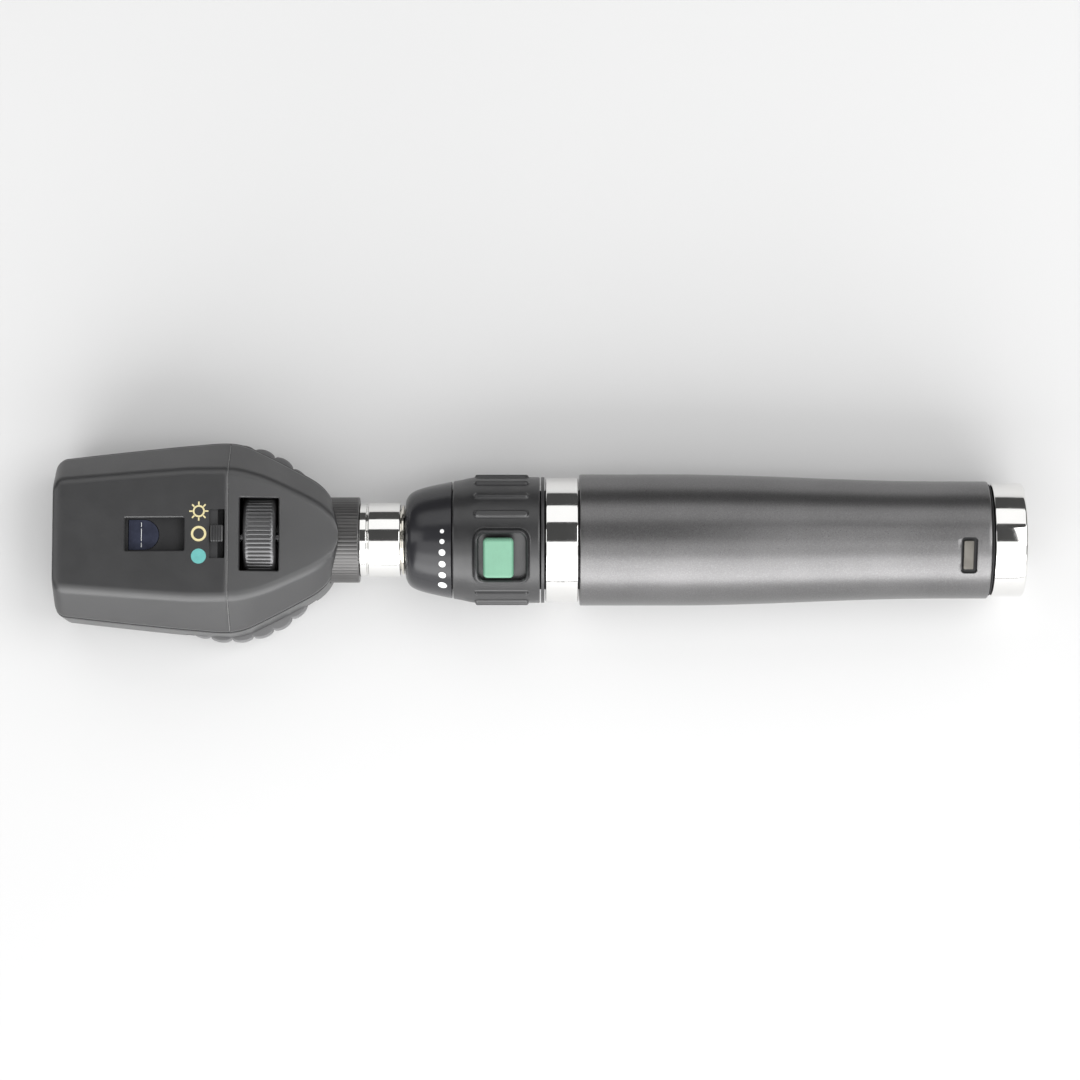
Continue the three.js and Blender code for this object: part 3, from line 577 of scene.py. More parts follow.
def half_section(u, inset, front, shrink=0.0):
    """Half of a cross-section of the head, from the parting line to the middle, as (across, up)."""
    tip = roll(u - (HEAD_END - inset - TOP_CORNER), TOP_CORNER)
    w = curve_through(CHIN if u < CHIN[-1][0] else OUTLINE, u) - inset - tip - shrink
    base = PARTING_H + (-inset if front else inset)
    if front:
        w -= 0.0 if inset else FRONT_STEP * smoothstep(u, NECK_U, 20)
        base += 0.0 if inset else GAP / 2
        p = min(curve_through(PLATEAU, u) - 0.7 * inset - tip - shrink, 0.7 * w)
        top = front_height(u) - inset - 0.25 * tip - shrink
        corners = [(w, PARTING_H + 1.5, FLANK_ROUND), (p - 0.1, top, CREASE_ROUND), (0.3 * p, top)]
    else:
        base -= 0.0 if inset else GAP / 2
        bottom = -(curve_through(BACK, u) - inset - 0.25 * tip - shrink)
        corners = [(w, bottom, min(BACK_ROUND - inset, 0.7 * w)), (0.3 * w, bottom)]
    return rounded([(w - min(1, w / 2), base), (w, base, 0.25)] + corners, 0, closed=False, arc=9)


def shell_body(u_from, u_to, inset, front):
    """A solid of the head between two places along it, drawn in by inset, before or behind the parting."""
    stations = [(u, 0.0) for u in spaced(u_from, min(u_to, HEAD_END - inset - TOP_CORNER), 1.2)]
    if u_to >= HEAD_END - inset:
        arc = [math.sin(math.pi / 2 * k / 8) for k in range(1, 8)]
        stations += [(HEAD_END - inset - TOP_CORNER * (1 - a), 0.0) for a in arc]
        stations.append((HEAD_END - inset - 0.001, 0.0))
    elif not inset:
        stations[-1:] = [(u_to - 0.08, 0.0), (u_to, 0.08)]
    if not inset and u_from == NECK_U:  # close together where the chin curves in
        chin = [(NECK_U + 6 * (k / 14) ** 2, 0.0) for k in range(14)]
        stations = chin + [station for station in stations if station[0] > NECK_U + 5.6]
    elif not inset:  # a gently sloped edge, which catches the light
        stations[:1] = [(u_from, 0.14), (u_from + 0.4, 0.0)]
    rings = []
    for u, shrink in stations:
        ring = both_sides(half_section(u, inset, front, shrink))
        rings.append([(-GAP - u, across, up) for across, up in ring])
    return loft(rings)


def rect_about(node, corner, least=0.05):
    """The rectangle round a CAD node, seen from above."""
    return drawn_in(span(node), span(node, 1), corner, least)


def middle_of(node):
    return [sum(span(node, k)) / 2 for k in (0, 1)]


def head_box(u_span, v_span, h_span, corner=0.1):
    """A block placed by its spans along, across and out of the head."""
    return slab(oblong((-GAP - u_span[1], -GAP - u_span[0]), v_span, corner, 3), *h_span)


def front_pocket(place, floor, corner=0.35):
    """A cutter for a pocket in the front of the head, with a small chamfer round its mouth.
    place is where it starts and ends along the head, and half its width."""
    u0, u1, half = place

    def ring(grow, height):
        x_span, y_span = (-GAP - u1 - grow, -GAP - u0 + grow), (-half - grow, half + grow)
        return [(x, y, height(-GAP - x)) for x, y in oblong(x_span, y_span, corner + grow)]

    above = 0.3
    return loft([
        ring(0, lambda u: floor),
        ring(0, lambda u: front_height(u) - EDGE),
        ring(EDGE + above, lambda u: front_height(u) + above),
    ])


def back_bore(x, y, radius, depth, steps=64):
    """A cutter for a round hole in the back of the head, with a small chamfer round its mouth."""
    levels = ((radius, depth), (radius, EDGE), (radius + EDGE + 0.3, -0.3))
    return loft([[(px, py, h - BACK_H) for px, py in disc(x, y, r, steps)] for r, h in levels])


def head_profile(points):
    """Outline points given as (u, radius), turned into (x, radius)."""
    return [(-GAP - u, *rest) for u, *rest in points]


def neck_bore():
    """Room for the collar, which runs on under the chin, and for the lamp behind it."""
    first, step, last = 10, COLLAR_END + 0.2, COLLAR_END + 4
    steps = [(last, NECK_BORE), (step, NECK_BORE), (step, COLLAR_SEAT), (first, COLLAR_SEAT)]
    return lathe([(-GAP - last, 0)] + head_profile(steps) + [(-GAP - first, 0)], 128)


def make_front_upper():
    cover = object_of("front_cover_upper_skin", shell_body(SEAM_U + SEAM_GAP / 2, HEAD_END, 0, True))
    carve(cover, shell_body(SEAM_U - 2, HEAD_END - WALL, WALL, True))
    carve(cover, front_pocket(WINDOW, 8))
    u0, u1, half = SLOT
    shelf = oblong((-GAP - u1, -GAP - u0), (-half, half), 0.2)
    levels = (-SLOT_SHELF_DEPTH, 2)
    carve(cover, loft([[(x, y, front_height(-GAP - x) + h) for x, y in shelf] for h in levels]))
    carve(cover, head_box((u0, SLOT_SHELF_U), (-half, half), (8, 20), 0.2))
    return finish(cover, "head", "shell_plastic", SHELL, ["front_cover_upper"])


def make_front_lower():
    cover = object_of("front_cover_lower_skin", shell_body(NECK_U, SEAM_U - SEAM_GAP / 2, 0, True))
    carve(cover, shell_body(COLLAR_END + 1.5, SEAM_U + 2, WALL, True))
    carve(cover, neck_bore())
    carve(cover, front_pocket(POCKET, 5))
    return finish(cover, "head", "shell_plastic", SHELL, ["front_cover_lower"])


def wheel_room():
    """A cutter for the space that the lens wheel turns in."""
    low, high = span("lens_wheel", 2)
    room = 0.6
    radius = (span("lens_wheel")[1] - span("lens_wheel")[0]) / 2 + room
    return slab(disc(-GAP - WHEEL_U, 0, radius, 160), low - room, high + room)


def make_rear():
    shell = object_of("rear_shell_skin", shell_body(NECK_U, HEAD_END, 0, False))
    carve(shell, shell_body(COLLAR_END + 1.5, HEAD_END - WALL, WALL, False))
    carve(shell, neck_bore())
    carve(shell, wheel_room())
    view_x = -GAP - VIEW_U
    carve(shell, back_bore(view_x, 0, 6.5, 0.7))
    carve(shell, slab(disc(view_x, 0, 2.2, 32), -20, -BACK_H + 4))
    pane, hole = rect_about("readout_window", READOUT_CORNER), []
    for grow, height in ((0.15, 4), (0.15, EDGE), (0.45 + EDGE, -0.3)):
        hole.append([(x, y, height - BACK_H) for x, y in pane(-grow)])
    carve(shell, loft(hole))
    for side in ("left", "right"):
        carve(shell, back_bore(*middle_of(f"shell_screw_{side}"), 2.15, 1.2, 40))
    return finish(shell, "head", "shell_plastic", SHELL, ["rear_shell"])


def seam_highlight_strip():
    """A pale strip across the front, where the two front covers meet: a painted highlight for the light that
    the seam's edges catch.
    """
    outer, inner = (both_sides(half_section(SEAM_U, 0, True, shrink)) for shrink in (-0.03, 0.4))
    half_width = 0.11
    left, right = -GAP - SEAM_U - half_width, -GAP - SEAM_U + half_width
    return loft([[(left, *i), (left, *o), (right, *o), (right, *i)] for o, i in zip(outer, inner)])


make_front_upper()
make_front_lower()
make_rear()
piece("cover_seam_highlight", seam_highlight_strip(), "head", "shell_plastic", SEAM_HIGHLIGHT)


# ---------------- what sits on and in the head
def brow_rest():
    low, high = span("brow_rest", 2)
    return flipped(cushion(rect_about("brow_rest", 5.2, 1), -high, -low, 1.5, 8, both=False))


piece("brow_rest_pad", brow_rest(), "head", "black_rubber", RUBBER, ["brow_rest"])


def screw(node):
    """A screw head with a crossed recess."""
    x, y = middle_of(node)
    low = span(node, 2)[0]
    head = cushion(lambda inset: disc(x, y, 1.95 - inset, 40), -low - 0.8, -low, 0.35, 5)
    made = object_of(node + "_head", flipped(head))
    long, short = 1.15, 0.22
    for half_x, half_y in ((long, short), (short, long)):
        cross = oblong((x - half_x, x + half_x), (y - half_y, y + half_y), 0.1)
        carve(made, slab(cross, low - 1, low + 0.5))
    finish(made, "head", "spring_steel", STEEL, [node])


for side in ("left", "right"):
    screw(f"shell_screw_{side}")


def round_ended(x_span, half):
    """An outline with a straight end at its low x and a round end at its high x."""
    x0, x1 = x_span
    centre, arc = x1 - half, 12
    angles = [math.pi / 2 - math.pi * k / (2 * arc) for k in range(2 * arc + 1)]
    bow = [(centre + half * math.cos(a), half * math.sin(a)) for a in angles]
    return [(x0, -half), (x0, half)] + bow


def make_window():
    low, high = span("window_frame", 2)
    plate = object_of("window_bezel", slab(rect_about("window_frame", 0.6)(0), low, high))
    x0, x1 = span("window_glass")
    carve(plate, slab(round_ended((x0 - 0.15, x1 + 0.15), PANE_HALF + 0.12), low - 2, high + 2))
    finish(plate, "head", "black_plastic", MATT, ["window_frame"])
    g0, g1 = span("window_glass", 2)
    pane = slab(round_ended((x0, x1), PANE_HALF), g0, g1)
    piece("window_pane", pane, "head", "coated_glass", COATED, ["window_glass"])


make_window()


FILTER_STEP = 3.7  # distance between the three openings of the filter carrier


def make_filter_switch():
    """The ribbed thumb nub, and the carrier under it with its three openings."""
    x0, x1 = span("filter_switch")
    top = span("filter_switch", 2)[1]
    block = drawn_in((x0 + 0.02, x1 - 0.02), (-2, 2), 0.3, 0.3)
    nub = object_of("filter_switch_thumb", cushion(block, front_height(SLOT[1]) - 0.35, top, 0.3, 4))
    groove, groove_depth = 0.14, 0.22
    for k in range(4):
        x = lerp(x0 + 0.62, x1 - 0.62, k / 3)
        across = [(x - groove, -3), (x + groove, -3), (x + groove, 3), (x - groove, 3)]
        carve(nub, slab(across, top - groove_depth, top + 1))
    finish(nub, "filter_switch", "black_plastic", SHELL)
    stem = head_box((42.1, SLOT_SHELF_U - 0.25), (-1.9, 1.9), (12.4, top - 0.9))
    carrier = object_of("filter_carrier", stem)
    carve(carrier, head_box((42.2, 45), (-7.6, 7.6), (11.9, 12.7)), operation="UNION")
    carve(carrier, head_box((43.1, 44.3), (-6.6, 6.6), (-2.4, 12.2)), operation="UNION")
    for k in (-1, 0, 1):
        hole = lathe([(-GAP - 50, 0), (-GAP - 50, 1.7), (-GAP - 40, 1.7), (-GAP - 40, 0)], 40)
        carve(carrier, moved(hole, y=k * FILTER_STEP))
    finish(carrier, "filter_switch", "black_plastic", MATT, ["filter_switch"])


make_filter_switch()


def ring_about(node, steps, count, depth, chamfer, inner, run_on=0.0):
    """A ring in the place of a round CAD node, with count flutes that run out into a round at each end.
    run_on makes it longer at the end away from the handle."""
    x0, x1 = span(node)
    x0 -= run_on
    z0, z1 = span(node, 2)
    radius = (z1 - z0) / 2

    def outer(x, angle):
        end = min(x - x0, x1 - x)
        wave = math.sqrt(abs(math.cos(count * angle / 2)))
        groove = depth * (1 - wave) * smoothstep(end, chamfer * 0.75, chamfer * 1.1)
        return radius - groove - roll(chamfer - end, chamfer)

    ends = [chamfer * (1 - math.cos(math.pi / 2 * k / 5)) for k in range(6)]
    mid = spaced(x0 + chamfer * 1.2, x1 - chamfer * 1.2, 0.4)
    xs = [x0 + e for e in ends] + mid + [x1 - e for e in reversed(ends)]
    return moved(relief(xs, steps, outer, inner), z=(z0 + z1) / 2)


piece("aperture_dial_drum", ring_about("aperture_dial", 768, 64, 0.24, 1.2, 9.3), "aperture_dial",
      "collar_metal", DIAL, ["aperture_dial"], sharp=60)
collar = object_of("neck_collar_ring", ring_about("neck_collar", 512, 64, 0.09, 0.3, NECK_BORE,
                                                  run_on=COLLAR_RUN_ON))
carve(collar, wheel_room())
finish(collar, "head", "collar_metal", COLLAR, ["neck_collar"], sharp=60)


def make_lens_wheel():
    """The scalloped wheel, with a shallow seat for its ring of lenses and a hole for each of them."""
    low, high = span("lens_wheel", 2)
    x0, x1 = span("lens_wheel")
    centre, radius = (x0 + x1) / 2, (x1 - x0) / 2
    lobes, lobe_depth = 28, 0.95
    steps = lobes * 14
    lenses, lens_circle, lens_radius = 24, 18.5, 2.05

    def rim(inset):
        points = []
        for k in range(steps):
            angle = 2 * math.pi * k / steps
            bow = math.sqrt(abs(math.sin(lobes * angle / 2)))
            r = radius - lobe_depth * (1 - bow) - inset
            points.append((centre + r * math.cos(angle), r * math.sin(angle)))
        return points

    wheel = object_of("lens_wheel_disc", cushion(rim, low, high, 0.55, 4))
    carve(wheel, slab(disc(centre, 0, 21.2, 96), high - 0.8, high + 1))
    for k in range(lenses):
        angle = math.pi + 2 * math.pi * k / lenses
        x, y = centre + lens_circle * math.cos(angle), lens_circle * math.sin(angle)
        carve(wheel, slab(disc(x, y, lens_radius, 24), low - 1, high + 1))
    carve(wheel, slab(disc(centre, 0, 1.8, 24), low - 1, high + 1))
    finish(wheel, "lens_wheel", "black_plastic", WHEEL_GREY, ["lens_wheel"])


make_lens_wheel()


def on_front(outline, offset):
    """An outline laid on the head's sloping front, at an offset from it."""
    return [(x, y, front_height(-GAP - x) + offset) for x, y in outline]


def printed(outline):
    """A thin printed mark on the head's front."""
    return loft([on_front(outline, MARK_SINK), on_front(outline, MARK_LIFT)])


def ring_mark(x, y, outer, inner):
    """A printed ring on the head's front."""
    levels = ((outer, MARK_SINK), (inner, MARK_SINK), (inner, MARK_LIFT), (outer, MARK_LIFT))
    return loft([on_front(disc(x, y, r, 40), offset) for r, offset in levels], closed=True)


mark_x = -GAP - MARKS_U
piece("mark_red_free", printed(disc(mark_x, -MARK_STEP, 1.8, 40)), "head", "shell_plastic", TEAL)
piece("mark_plain_beam", ring_mark(mark_x, 0, 1.85, 1.3), "head", "shell_plastic", CREAM)


def sun_mark():
    """A printed ring with eight rays."""
    parts = [ring_mark(mark_x, MARK_STEP, 1.45, 1.05)]
    rays = 8
    for k in range(rays):
        angle = 2 * math.pi * k / rays
        along = Vector((math.cos(angle), math.sin(angle)))
        across = Vector((-along.y, along.x)) * 0.18
        near, far = along * 1.5, along * 2.3
        centre = Vector((mark_x, MARK_STEP))
        corners = [centre + p for p in (near - across, far - across, far + across, near + across)]
        parts.append(printed([tuple(c) for c in corners]))
    return combine(*parts)


piece("mark_bright_beam", sun_mark(), "head", "shell_plastic", CREAM)


def window_edge_highlight():
    """A painted highlight across the glass, in three strokes: a white strip for the bright edge where the
    upper pane meets the lower.
    """
    top = span("window_glass", 2)[1]
    x = lerp(*span("window_glass"), 0.42)
    strokes = []
    for y_span in ((-3.0, -1.9), (-1.5, 1.5), (1.9, 3.0)):
        strokes.append(slab(oblong((x - 0.06, x + 0.06), y_span, 0.05, 3), top - 0.1, top + 0.02))
    return combine(*strokes)


# white strip for the bright edge of the glass junction: a painted highlight
piece("window_edge_highlight_strip", window_edge_highlight(), "head", "black_plastic", WHITE)


def turned_round(points, radius, steps):
    """A turned part, its outline's corners rounded."""
    return lathe(rounded(points, radius), steps)


def bayonet_socket():
    """The stepped chrome socket, with three lugs inside its mouth."""
    ring = turned_round(head_profile([
        (16.6, 5.2, 0.1), (16.6, 8.6, 0.1), (9.9, 8.6, 0.1), (9.8, 8.85, 0.15), (8.2, 8.85, 0.2),
        (8.15, 8.3, 0.1), (7.85, 8.3, 0.1), (7.75, 9.1, 0.3), (0, 9.1, 0.35), (0, 7.5, 0.25),
        (8.4, 7.5, 0), (9.4, 5.2, 0.1),
    ]), 0.2, 192)
    lug = drawn_in((-GAP - 7, -GAP - 4.4), (-0.6, 0.6), 0.3, 0.3)
    lugs = [turned(flipped(cushion(lug, -7.8, -6.0, 0.25, 3)), 120 * k) for k in range(3)]
    return combine(ring, *lugs)


piece("bayonet_socket_ring", bayonet_socket(), "head", "chrome_trim", CHROME, ["bayonet_socket"])


def stands_in(node, points, body, slot, look, radius=0.2, steps=96, on_head=False):
    """A turned part in the place of a CAD node, from (x, radius) points, or (u, radius) on the head."""
    outline = head_profile(points) if on_head else points
    return piece(f"{node}_turned", turned_round(outline, radius, steps), body, slot, look, [node])


stands_in("lamp_base", [(13, 3.3), (13, 4.6), (12, 4.9), (5.4, 4.9), (4.9, 4.4), (4.9, 3.3)],
          "lamp", "nickel_plate", NICKEL, on_head=True)
stands_in("lamp_insulator", [(12.6, 0, 0), (12.6, 3), (4.9, 3), (4.9, 1.5), (9, 1.5), (9, 0, 0)],
          "lamp", "black_plastic", MATT, on_head=True)
stands_in("lamp_contact", [(8.7, 0, 0), (8.7, 1.2), (4.3, 1.2, 0.5), (3.9, 0.7, 0.2), (3.9, 0, 0)],
          "lamp", "contact_brass", BRASS, on_head=True)
BULB = [(18.9, 0.7), (18.5, 1.7), (17.5, 2.6), (16, 2.8), (13.6, 2.8), (12.9, 2.3)]
bulb = lathe([(-GAP - 19, 0)] + spline(head_profile(BULB)) + [(-GAP - 12.9, 0)], 96)
piece("lamp_bulb_glass", bulb, "lamp", "clear_glass", GLASS, ["lamp_bulb"])

for node in ("condenser_lens", "projection_lens"):
    u0, u1 = along_head(node)
    radius = span(node, 1)[1]
    bow = [(lerp(u0 + 0.9, u0, math.cos(math.asin(t))), t * radius) for t in [k / 10 for k in range(11)]]
    rear = [(u0 + u1 - u, r) for u, r in reversed(bow)]
    piece(f"{node}_element", lathe(head_profile(bow + rear), 96), "head", "clear_glass", GLASS, [node])


for node, corner in (("readout_window", READOUT_CORNER), ("eyepiece_glass", 1.88)):
    low, high = span(node, 2)
    pane = cushion(rect_about(node, corner), low, high, 0.15, 3)
    piece(node.split("_")[0] + "_pane", pane, "head", "clear_glass", GLASS, [node])


# ---------------- the handle
def make_post():
    """The handle's post, its wall cut away at three places for the lugs of the socket."""
    post = object_of("bayonet_post_tube", turned_round([
        (-8.1, 5.6), (-8.1, 7.2, 0.4), (0.6, 7.2, 0.1), (0.6, 6, 0.1), (8, 6), (8, 5.6),
    ], 0.2, 192))
    half, reach = math.radians(25), 12
    wedge = [(0, 0)] + [(-reach * math.sin(a), reach * math.cos(a)) for a in (-half, 0, half)]
    for k in range(3):
        rings = [[(x, y, z) for y, z in wedge] for x in (-9, -4.1)]
        carve(post, turned(loft(rings), 17.5 + 120 * k))
    soften(post, 0.12, 50)
    finish(post, "handle", "nickel_plate", NICKEL, ["bayonet_post"])


make_post()
stands_in("post_washer", [(0, 7.5), (0, 8.4), (0.5, 8.4), (0.5, 7.5)],
          "handle", "nickel_plate", NICKEL, 0.12, 160)
stands_in("contact_insulator", [(-3.2, 1.9), (-3.2, 5.3), (7.6, 5.3), (7.6, 1.9)],
          "handle", "black_plastic", MATT)
stands_in("contact_pin", [
    (-3.9, 0, 0), (-3.9, 0.8, 0.3), (-3.3, 1.5, 0.3), (8.2, 1.5), (8.2, 3), (9, 3), (9, 0, 0),
], "contact_pin", "contact_brass", BRASS)

CONE = spline([(0.8, 8.3), (1.0, 9.6), (1.7, 10.9), (2.9, 11.8), (5.2, 12.65), (8.8, 13.5), (12.0, 14.15)], 7)
CONE_INSIDE = [(12.1, 14.05), (12.1, 12), (9.2, 12), (9.2, 9.3), (2.2, 9.3), (2.2, 7.5)]
cone = lathe([(0.8, 7.5)] + CONE + CONE_INSIDE, 192)
piece("nose_cone_skin", cone, "handle", "gloss_black", GLOSS, ["nose_cone"])


def cone_radius(x):
    low = max(k for k in range(len(CONE) - 1) if CONE[k][0] <= x)
    (x0, r0), (x1, r1) = CONE[low], CONE[low + 1]
    return lerp(r0, r1, (x - x0) / (x1 - x0))


def dot(x, degrees, radius):
    """A small round mark printed on the cone, its top edge eased."""
    rings = []
    for offset, grow in ((-0.1, 1), (0.03, 1), (0.05, 0.85)):
        ring = []
        for px, arc in disc(0, 0, radius * grow, 24):
            r = cone_radius(x + px) + offset
            ring.append(about_axis(x + px, r, math.radians(degrees) + arc / r))
        rings.append(ring)
    return loft(rings)


DOT_X = 9.9
DOT_SIZES = (1.0, 1.2, 1.6, 1.66, 1.8, 2.15)
DOT_TURNS = (-24.8, -14.5, -3.4, 8.9, 21.9, 36.3)  # degrees from the middle of the button
dots = []
for size, turn in zip(DOT_SIZES, DOT_TURNS):
    dots.append(dot(DOT_X, FRONT_ANGLE + turn, size / 2))
piece("brightness_dots", combine(*dots), "handle", "gloss_black", WHITE)

PAD = (17.2, 30.9, 6.8)  # raised pad round the lock button: from, to, half width
RECESS = (18.6, 29.9, 5.8)
RECESS_FLOOR = 13.35
BUTTON = (19.75, 27.05, 4.95)


def curved_pocket(opening, corner, floor, radius, edge):
    """A cutter for a flat-floored pocket in a round surface, with a chamfer round its mouth."""
    x0, x1, half = opening
    above = 0.3

    def ring(grow, height):
        outline = oblong((x0 - grow, x1 + grow), (-half - grow, half + grow), corner + grow, 8)
        return [(x, y, height(y)) for x, y in outline]

    return loft([
        ring(0, lambda y: floor),
        ring(0, lambda y: math.sqrt((radius - edge) ** 2 - y**2)),
        ring(edge + above, lambda y: math.sqrt((radius + above) ** 2 - y**2)),
        ring(edge + above, lambda y: radius + 2),
    ])


def make_control_ring():
    """The dimmer ring: a rib every 20 degrees round it, and the raised pad for the button."""
    x0, x1 = span("control_ring")
    front_r, base_r, rib_r, pad_r = 14.25, 15.25, 15.88, 16.5
    pad_mid, pad_half = (PAD[0] + PAD[1]) / 2, (PAD[1] - PAD[0]) / 2
    rib_mid, rib_half, rib_gap, ribs_from = 24.1, (6.65, 0.9), 20, 28

    def outer(x, angle):
        turn = (math.degrees(angle) - FRONT_ANGLE + 180) % 360 - 180
        r = lerp(front_r, base_r, smoothstep(x, x0 - 0.5, x0 + 6.0))
        r -= 0.5 * roll(0.3 - min(x - x0, x1 - x), 0.3)
        if abs(turn) > ribs_from:
            rib_turn = (turn + rib_gap / 2) % rib_gap - rib_gap / 2
            away = box_distance(x - rib_mid, math.radians(rib_turn) * base_r, *rib_half, 0.85)
            r += (rib_r - base_r) * smoothstep(-away, 0, 0.45)
        across = base_r * math.sin(math.radians(turn)) if abs(turn) < 60 else 99
        away = box_distance(x - pad_mid, across, pad_half, PAD[2], 2.6)
        return lerp(r, pad_r, smoothstep(-away, -0.1, 0.75))

    ring = object_of("control_ring_grip", relief(spaced(x0, x1, 0.22), 400, outer, 13.0))
    carve(ring, turned(curved_pocket(RECESS, 1.6, RECESS_FLOOR, pad_r, 0.4), FRONT_ANGLE))
    finish(ring, "control_ring", "black_plastic", BLACK, ["control_ring"], sharp=50)


make_control_ring()


def make_button():
    x0, x1, half = BUTTON
    outline = drawn_in((x0, x1), (-half, half), 1.0, 0.15)
    cap = turned(cushion(outline, 14.5, 16.3, 0.8, 5), FRONT_ANGLE)
    piece("lock_button_cap", cap, "lock_button", "button_green", GREEN, ["lock_button"], weighted=True)


def make_button_spring():
    """The bowed leaf under the button, kept in its CAD shape; on the real instrument it flattens on the floor
    of the recess as the button goes down.
    """
    leaf = added("button_spring_leaf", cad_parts["button_spring"].data.copy())
    finish(leaf, "control_ring", "spring_steel", STEEL, ["button_spring"])
    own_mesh(leaf)


make_button()
make_button_spring()
stands_in("grip_ring", [(33.6, 12.3), (33.6, 15.25), (34.4, 15.25), (34.4, 12.3)],
          "handle", "black_plastic", BLACK, 0.15, 192)
stands_in("front_band", [(34.7, 12.3), (34.7, 15.1, 0.35), (42.6, 15.1, 0.35), (42.6, 12.3)],
          "handle", "chrome_trim", CHROME, 0.2, 224)

TUBE_R = span("handle_tube", 2)[1]
TUBE_BORE = 12.4
TAIL_R = 14.2
TAPER = (66, 130)
CHARGE_SLOT = (134.4, 137.9, 4.3)
SLOT_CORNER = 0.7
RIM = 0.28  # width of the slot's insulating rim


def grip_radius(x):
    return lerp(TUBE_R, TAIL_R, smoothstep(x, *TAPER))


SLOT_R = grip_radius(sum(CHARGE_SLOT[:2]) / 2)


def make_tube():
    """The tapered grip, its end edges rounded, with the opening of the charge slot."""
    x0, x1 = span("handle_tube")
    edge = 0.35
    ends = [edge * (1 - math.cos(math.pi / 2 * k / 4)) for k in range(5)]
    xs = [x0 + e for e in ends] + spaced(x0 + 1, x1 - 1, 1.5) + [x1 - e for e in reversed(ends)]
    outline = [(x, grip_radius(x) - roll(edge - min(x - x0, x1 - x), edge)) for x in xs]
    tube = object_of("handle_tube_skin", lathe(outline + [(x1, TUBE_BORE), (x0, TUBE_BORE)], 256))
    carve(tube, turned(curved_pocket(CHARGE_SLOT, SLOT_CORNER, 9, SLOT_R, 0.1), FRONT_ANGLE))
    finish(tube, "handle", "anodised_grip", GRIP, ["handle_tube"], sharp=50)


make_tube()


def slot_surround():
    """The dark insulating rim round the charge slot, bent to the grip, and the floor under its contact."""
    x0, x1, half = CHARGE_SLOT
    section = [(0.0, -1.4), (0.0, -0.05), (-0.08, 0.04), (-0.2, 0.04), (-RIM, -0.05), (-RIM, -1.4)]
    rings = []
    for inset, height in section:
        x_span, y_span = (x0 - inset - RIM, x1 + inset + RIM), (-half - inset - RIM, half + inset + RIM)
        outline = oblong(x_span, y_span, SLOT_CORNER + inset + RIM, 8)
        rings.append([about_axis(x, SLOT_R + height, math.asin(y / SLOT_R)) for x, y in outline])
    play = 0.05
    floor = slab(oblong((x0 + play, x1 - play), (play - half, half - play), 0.65), 12.7, 13.2)
    return turned(combine(loft(rings, closed=True), floor), FRONT_ANGLE)


piece("charge_slot_rim", slot_surround(), "handle", "black_plastic", MATT)


def side_contact():
    """The contact strip that lies in the charge slot."""
    x0, x1 = span("side_contact")
    outline = drawn_in((x0 - 0.1, x1 - 0.3), (-3.4, 3.8), 0.4)
    return turned(cushion(outline, 13.4, 13.85, 0.2, 4), FRONT_ANGLE)


piece("side_contact_strip", side_contact(), "handle", "nickel_plate", SATIN, ["side_contact"])

stands_in("tail_seal", [(141.75, 12.5), (141.75, 13.5), (142.15, 13.5), (142.15, 12.5)],
          "tail_seal", "black_rubber", RUBBER, 0.15, 160)
stands_in("tail_cap", [
    (136, 10.2), (136, 12), (142.3, 12), (142.45, 13.75, 0.3), (150.2, 13.75, 0.7), (150.2, 11.6),
    (146.4, 11.6), (146.4, 6), (143.4, 6), (143.4, 10.2),
], "tail_cap", "chrome_trim", CHROME, 0.2, 224)
stands_in("tail_insert", [(146.7, 3), (146.7, 11.3), (149.6, 11.3, 0.4), (149.6, 3.2, 0.4)],
          "tail_cap", "black_plastic", MATT, 0.1, 128)
stands_in("charge_stud", [
    (141.5, 0, 0), (141.5, 4.5), (142.6, 4.5), (142.6, 2.7), (149.3, 2.7, 0.5), (149.3, 0, 0),
], "tail_cap", "contact_brass", BRASS, 0.15)

# ---------------- CAD nodes that keep their own shape
KEPT = {
    "battery": WRAP, "battery_terminal": NICKEL, "battery_spring": STEEL, "contact_spring": STEEL,
    "centre_conductor": BRASS, "core_sleeve": MATT, "rheostat_track": BOARD, "rheostat_wiper": BRASS,
    "optics_chassis": MATT, "mirror": MIRROR, "aperture_disc": STEEL,
    "aperture_axle": STEEL, "lens_wheel_axle": STEEL, "detent_spring": STEEL, "lens_set": GLASS,
    "red_free_filter": FILTER_GREEN, "polarising_filter": GLASS,
}
for node, look in KEPT.items():
    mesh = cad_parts[node].data
    mesh.materials.clear()
    mesh.materials.append(look)


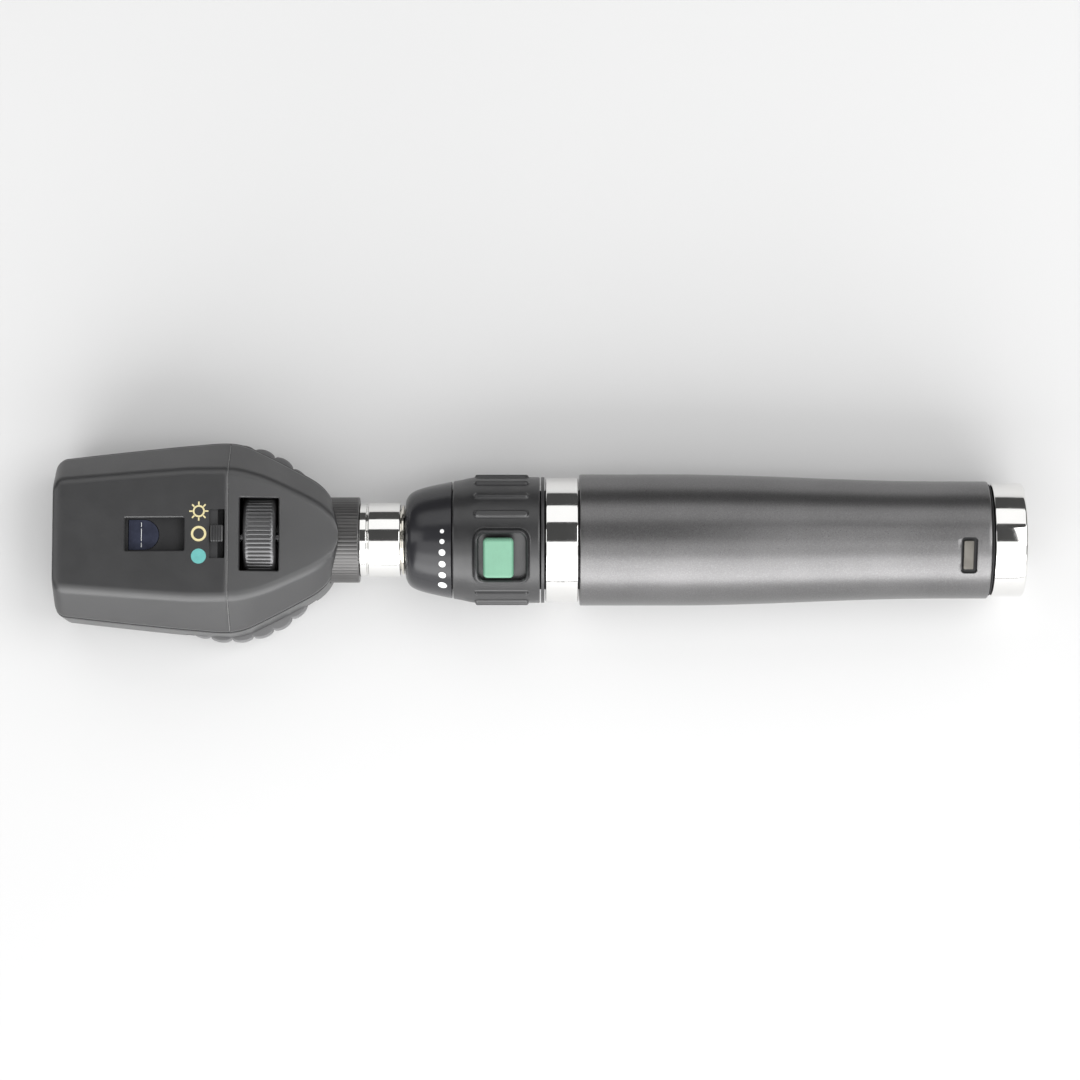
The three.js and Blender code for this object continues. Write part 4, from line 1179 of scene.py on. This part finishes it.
# ---------------- table, light and camera
def table_top():
    """The plain pale table."""
    look = Looks("pale_table")
    tone = look.mixed(look.ranged(look.noise(300, 3.0), 0, 1), (0.70, 0.70, 0.70), (0.725, 0.725, 0.725))
    look.feed(tone, "Base Color")
    look.fix(Roughness=0.7)
    mesh = bpy.data.meshes.new("table_top")
    reach = 4.0
    corners = [(-reach, -reach, 0), (reach, -reach, 0), (reach, reach, 0), (-reach, reach, 0)]
    mesh.from_pydata(corners, [], [(0, 1, 2, 3)])
    mesh.materials.append(look.material)
    added("table_top", mesh)


LIGHT_REACH = 1.5  # metres from the instrument to each softbox


def softbox(name, first, last, width, radiance, aside=0.0):
    """A panel of light over the table, between two angles off the vertical, positive towards the viewer.
    It is width metres along the instrument, and aside turns it towards the handle."""
    half = math.radians(last - first) / 2
    tall = 2 * LIGHT_REACH * math.tan(half)
    light = bpy.data.lights.new(name, "AREA")
    light.shape, light.size, light.size_y = "RECTANGLE", width, tall
    light.energy = radiance * math.pi * width * tall
    lamp = added(name, light)
    lean, side = math.radians(first + last) / 2, math.radians(aside)
    way = Vector((math.sin(side), -math.sin(lean) * math.cos(side), math.cos(lean) * math.cos(side)))
    lamp.location = way * LIGHT_REACH
    lamp.rotation_euler = way.to_track_quat("Z", "Y").to_euler()


def light_the_table():
    world = bpy.data.worlds.new("studio")
    world.use_nodes = True
    background = world.node_tree.nodes["Background"]
    background.inputs["Color"].default_value = (1, 1, 1, 1)
    background.inputs["Strength"].default_value = 0.07
    bpy.context.scene.world = world
    softbox("high_softbox", 9, 38, 2.8, 1.25)
    softbox("front_softbox", 38, 64, 2.8, 3.2)
    softbox("low_softbox", 64, 87, 2.8, 4.2)
    softbox("back_softbox", -60, -27, 2.4, 1.1)
    softbox("neck_softbox", -22, 14, 0.9, 3.4, 33)
    softbox("crown_softbox", -22, 14, 0.5, 1.4, -52)


def camera():
    """Looks almost straight down, as at something in a tray, with the handle to the right."""
    data = bpy.data.cameras.new("camera")
    data.sensor_width = 36
    eye = added("camera", data)
    elevation, distance, across = math.radians(84), 0.95, 0.262
    target = Vector((0, 0, AXIS_HEIGHT))
    back = Vector((0, -math.cos(elevation), math.sin(elevation)))
    data.lens = data.sensor_width * distance / across
    eye.location = target + back * distance
    eye.rotation_euler = back.to_track_quat("Z", "Y").to_euler()
    bpy.context.scene.camera = eye


table_top()
light_the_table()
camera()
bpy.context.scene.view_settings.view_transform = "Standard"
